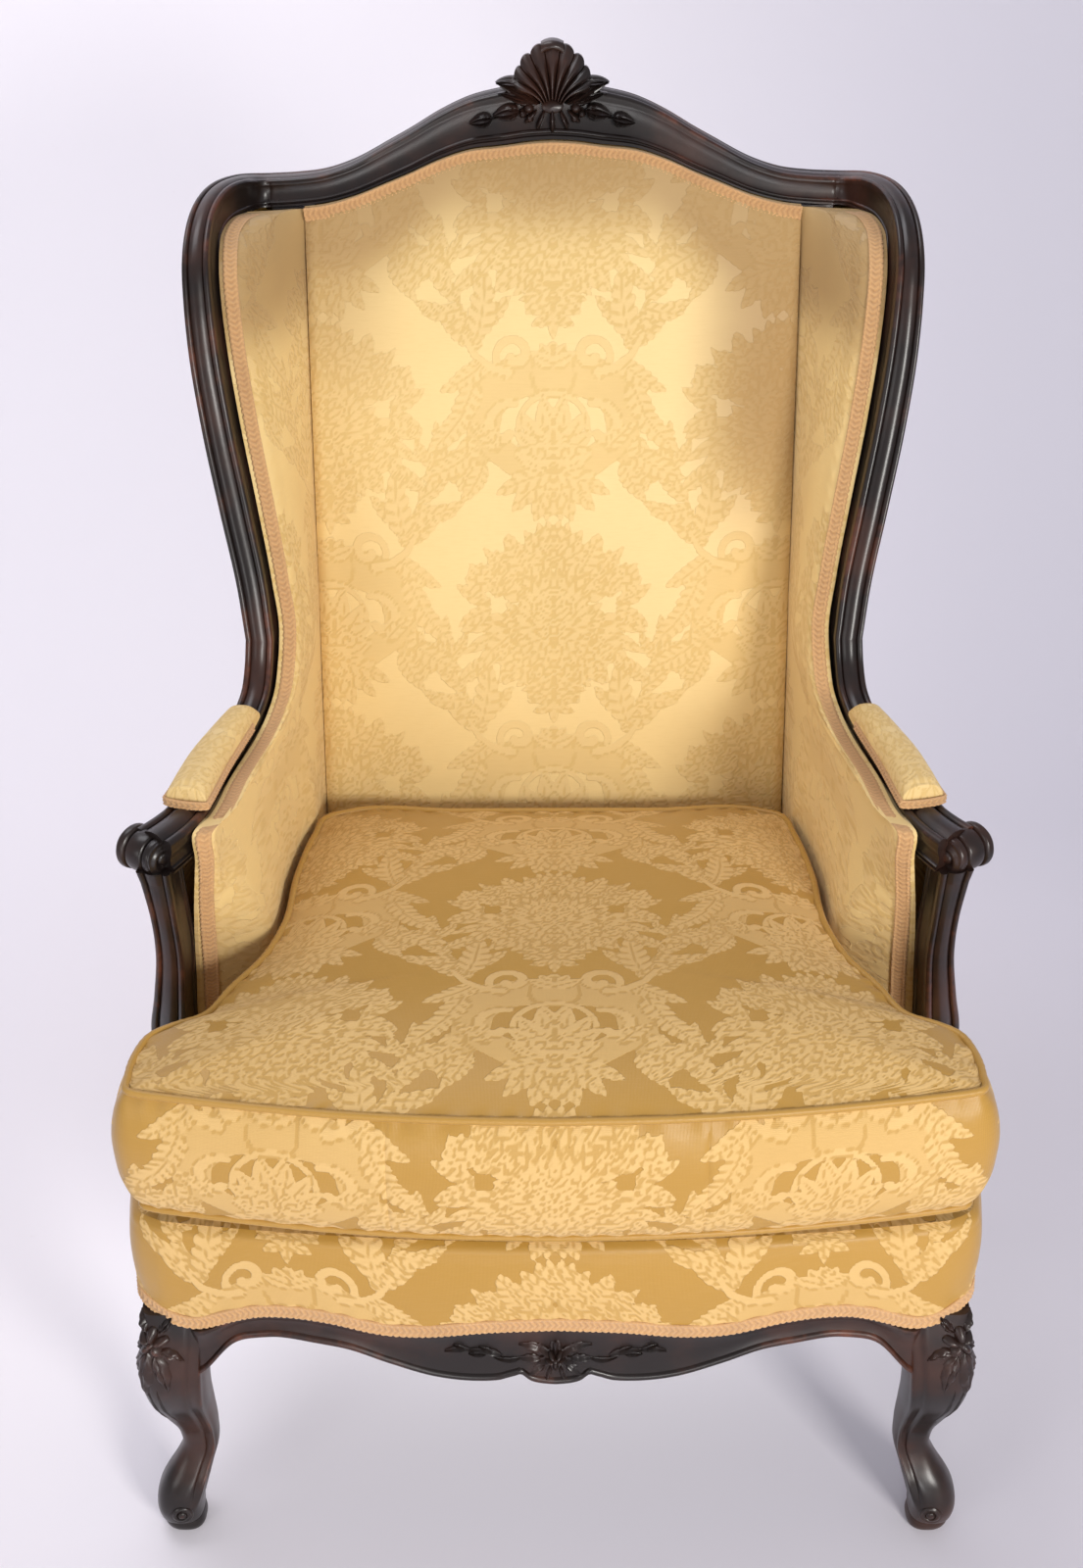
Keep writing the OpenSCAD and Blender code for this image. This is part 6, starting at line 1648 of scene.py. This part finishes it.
cushion = Shape()
x, y = cushionFace(300, 225)
# The top's soil value of 0.22 also paints shade on it, so the top reads darker than the boxing
cushion.grid(np.stack([x, y, crownAt(x, y)], -1),
             **damaskFields(x, (y - bouquets["seat"]) * bouquets["stretch"], 0.22))
levels = np.linspace(0, 1, 44)
ears = np.interp(edgeD / pillow["ear"], (0.5, 1.1, 1.7, 3.2), (1, 0.55, 0.35, 0.16))
swollen = pillow["swell"] * ears
topEdge = weltTop - dropBack(edgeD)
seams = 0.116, -0.128    # where the boxing's strips are joined
rows = []
for t in levels:
    out = swollen * float(boxOut(t)[0]) - 0.0004
    puckers = 0.0008 * np.sin(girth * 250 + 2 * np.sin(girth * 41)) * math.exp(-(min(t, 1 - t) / 0.12) ** 2)
    sunk = -0.0012 * sum(np.exp(-((girth - seam) / 0.0016) ** 2) for seam in seams)
    edge = outline + outward * (out + puckers + sunk)[:, None]
    rows.append(np.column_stack([edge, mix(weltLow, topEdge, t)]))
rows = np.array(rows)
closed = np.append(girth, girth[0])
v = mix(-0.062, 0.062, levels)[:, None] - 0.010 + 0 * closed
cushion.grid(np.concatenate([rows, rows[:, :1]], axis=1), **damaskFields(closed + 0 * v, v, 0.1))
x, y = cushionFace(120, 90)
cushion.grid(np.stack([x, y, pillow["low"] + pillow["inset"] + 0 * x], -1), flip=True,
             **damaskFields(x, y - bouquets["seat"]))
cushion.make("cushion_look", goldLook, "damask",
             ["cushion_core", "cushion_top_panel", "cushion_boxing", "cushion_bottom_panel"],
             body="cushion", soft=0.75)


def welt(node, height):
    # A piped cord round the cushion
    q = allRound(12)
    r = pillow["welt"] * (1.02 + 0.05 * np.sin(girth * 900) * np.sin(girth * 83))
    ring = outline[:, None] + outward[:, None] * (r[:, None] * np.cos(q))[..., None]
    z = height[:, None] + r[:, None] * np.sin(q)
    points = np.concatenate([ring, z[..., None]], axis=2)
    points = np.concatenate([points, points[:1]])
    shape = Shape()
    flat = 0 * points[..., 0]
    cloth = np.stack([closed[:, None] + flat, 0.02 * q / 6 + flat, flat], axis=-1)
    shape.grid(points, around=True, figure=-2.0, tone=1.0, cloth=cloth, soil=0.25)
    shape.make(node + "_look", goldLook, "damask", [node], body="cushion")


welt("cushion_welt_top", topEdge)
welt("cushion_welt_bottom", np.full(len(outline), weltLow))

# Zip in the back boxing
zipper = dict(long=0.390, wide=0.018, thick=0.0012, teeth=0.004, slider=0.009, tab=0.020, tabHalf=0.0025,
              tape=0.0009, slit=0.0008, pitch=0.0026, wall=0.0009, end=0.004)
zipY = pillow["back"] + pillow["swell"] * 0.9 * 0.16 + gap
zipZ = mix(weltLow, weltTop - pillow["fall"], 0.5)


def brick(shape, x, y, z, **data):
    # A box with slightly rounded edges from pairs of limits
    cut = min(x[1] - x[0], y[1] - y[0], z[1] - z[0]) * 0.22
    rings = []
    for level, c in ((z[0], cut), (z[0] + cut, 0), (z[1] - cut, 0), (z[1], cut)):
        x0, x1, y0, y1 = x[0] + c, x[1] - c, y[0] + c, y[1] - c
        rings.append([[x1 - cut, y0, level], [x1, y0 + cut, level], [x1, y1 - cut, level],
                      [x1 - cut, y1, level], [x0 + cut, y1, level], [x0, y1 - cut, level],
                      [x0, y0 + cut, level], [x0 + cut, y0, level]])
    shape.grid(rings, around=True, caps=True, **data)


tape, teeth, slider = Shape(), Shape(), Shape()
half = zipper["long"] / 2
for z0, z1 in ((-zipper["wide"] / 2, -zipper["slit"]), (zipper["slit"], zipper["wide"] / 2)):
    brick(tape, (-half, half), (zipY, zipY + zipper["tape"]), (zipZ + z0, zipZ + z1), figure=-2.0, tone=1.0)
tape.make("cushion_zip_tape", goldLook, "damask", body="cushion")
high = zipper["teeth"] / 2 - 0.0004
for k in range(int((zipper["long"] - 3 * zipper["end"]) / zipper["pitch"])):
    x = zipper["end"] - half + k * zipper["pitch"]
    z = zipZ + (0.0004 if k % 2 else -0.0004)
    brick(teeth, (x, x + zipper["pitch"] * 0.62), (zipY + 0.0004, zipY + zipper["thick"] * 2),
          (z - high, z + high))
teeth.make("cushion_zip_look", brassLook, "brass", ["cushion_zip"], body="cushion")
ends = half - zipper["slider"], half
face = zipY + zipper["thick"] + gap
wide = zipper["teeth"] / 2 + 0.001 + gap
brick(slider, ends, (face + 0.0013, face + 0.0022), (zipZ - wide, zipZ + wide))
for z0, z1 in ((-wide, zipper["wall"] - wide), (wide - zipper["wall"], wide)):
    brick(slider, ends, (face, face + 0.0015), (zipZ + z0, zipZ + z1))
middle = half - zipper["slider"] / 2
brick(slider, (middle - zipper["tabHalf"], middle + zipper["tabHalf"]), (face + 0.0023, face + 0.0032),
      (zipZ - zipper["tab"], zipZ - 0.0005))
slider.make("zip_slider_look", brassLook, "brass", ["zip_slider"], body="slider")
print("cushion built")

# Looks of the pieces carried over as they are
kept = {beechLook: ["back_tacking_rail", "arm_stretcher_left", "arm_stretcher_right",
                    "side_tacking_rail_left", "side_tacking_rail_right", "corner_blocks"],
        woodLook: ["back_seat_rail"],
        steelLook: ["block_screws", "seat_springs"]}
for look, names in kept.items():
    for name in names:
        made = bpy.data.objects[name]
        made.data.materials.clear()
        made.data.materials.append(look)

# Floor and backdrop in one sweep of pale paper
# The right and near colours are painted shade on the paper
sweep = dict(half=7.0, ahead=4.5, wall=2.1, bend=1.2, high=5.5, colour=(0.93, 0.90, 0.94),
             cloud=(0.90, 0.87, 0.92), scuff=(0.55, 0.47, 0.42), right=(0.58, 0.57, 0.64),
             near=(0.60, 0.57, 0.63))
line = [(-sweep["ahead"], 0.0), (0.0, 0.0), (sweep["wall"] - sweep["bend"], 0.0)]
line += arc(sweep["wall"] - sweep["bend"], sweep["bend"], sweep["bend"], -85, 0, 16)
line += [(sweep["wall"], sweep["high"])]
mesh = bpy.data.meshes.new("paper")
points = [(x, y, z) for y, z in line for x in (-sweep["half"], sweep["half"])]
mesh.from_pydata(points, [], [(2 * k, 2 * k + 1, 2 * k + 3, 2 * k + 2) for k in range(len(line) - 1)])
mesh.shade_smooth()
paper = bpy.data.objects.new("paper", mesh)
bpy.context.scene.collection.objects.link(paper)
s = Surface("paper")
cloud = s.noise(s.place(), 1.3, 2.0)
scuff = s.noise(s.place(), 38.0, 5.0, 0.7)
colour = s.blend(cloud.smooth(0.3, 0.8) * 0.3, sweep["colour"], sweep["cloud"])
colour = s.blend(scuff.smooth(0.66, 0.80) * 0.12, colour, sweep["scuff"])
across = s.node("ShaderNodeSeparateXYZ", 0, Vector=s.place())
ahead = s.node("ShaderNodeSeparateXYZ", 1, Vector=s.place()) * -1.0
# Painted shade: the paper darkens towards the right and towards the front
colour = s.blend(across.smooth(-0.6, 0.9) * 0.8, colour, sweep["right"])
colour = s.blend(ahead.smooth(-0.05, 0.55) * 0.4, colour, sweep["near"])
behind = s.node("ShaderNodeNewGeometry", "Backfacing")    # the paper can be seen through from behind
mesh.materials.append(s.set(Base_Color=colour, Roughness=scuff * 0.1 + 0.55, Specular_IOR_Level=0.3,
                            Alpha=1.0 - behind, Normal=s.bump(scuff, 0.0004, 0.1)))

# Lights
lamps = [
    dict(name="key", at=(1.4, -2.6, 1.38), aim=(0, 0.1, 0.6), size=0.7, power=58.0,
         colour=(1.0, 0.97, 0.93)),
    dict(name="left", at=(-1.9, -2.2, 1.1), aim=(0, 0, 0.5), size=0.9, power=9.0,
         colour=(1.0, 0.98, 0.96)),
    dict(name="low", at=(0.1, -2.7, 0.45), aim=(0, 0.2, 0.0), size=0.8, power=14.0,
         colour=(1.0, 0.98, 0.97)),
    dict(name="wall", at=(-1.0, 0.6, 3.3), aim=(-0.9, 2.1, 0.6), size=1.6, power=38.0,
         colour=(0.95, 0.95, 1.0)),
    dict(name="bounce", at=(0, 0.02, 0.20), aim=(0, -0.12, 0.0), size=0.55, power=1.1,
         colour=(0.98, 0.97, 1.0))]
for lamp in lamps:
    light = bpy.data.lights.new(lamp["name"], "AREA")
    light.size, light.energy, light.color = lamp["size"], lamp["power"], lamp["colour"]
    held = bpy.data.objects.new(lamp["name"], light)
    held.location = lamp["at"]
    held.rotation_euler = (Vector(lamp["aim"]) - Vector(lamp["at"])).to_track_quat("-Z", "Y").to_euler()
    bpy.context.scene.collection.objects.link(held)
world = bpy.data.worlds.new("studio")
world.use_nodes = True
sky = world.node_tree.nodes["Background"]
sky.inputs["Color"].default_value = (0.93, 0.92, 1.0, 1.0)
sky.inputs["Strength"].default_value = 0.50
bpy.context.scene.world = world

# Camera, where the photographer stood
lens = bpy.data.cameras.new("camera")
lens.sensor_fit, lens.sensor_height, lens.lens = "VERTICAL", 36.0, 43.3
camera = bpy.data.objects.new("camera", lens)
camera.location = (0.0, -1.4642, 1.4267)
tilt = [Matrix.Rotation(math.radians(a), 4, axis) for a, axis in ((0.44, "Z"), (60.02, "X"), (-0.36, "Z"))]
camera.rotation_euler = (tilt[0] @ tilt[1] @ tilt[2]).to_euler()
bpy.context.scene.collection.objects.link(camera)
bpy.context.scene.camera = camera
bpy.context.scene.view_settings.view_transform = "Standard"
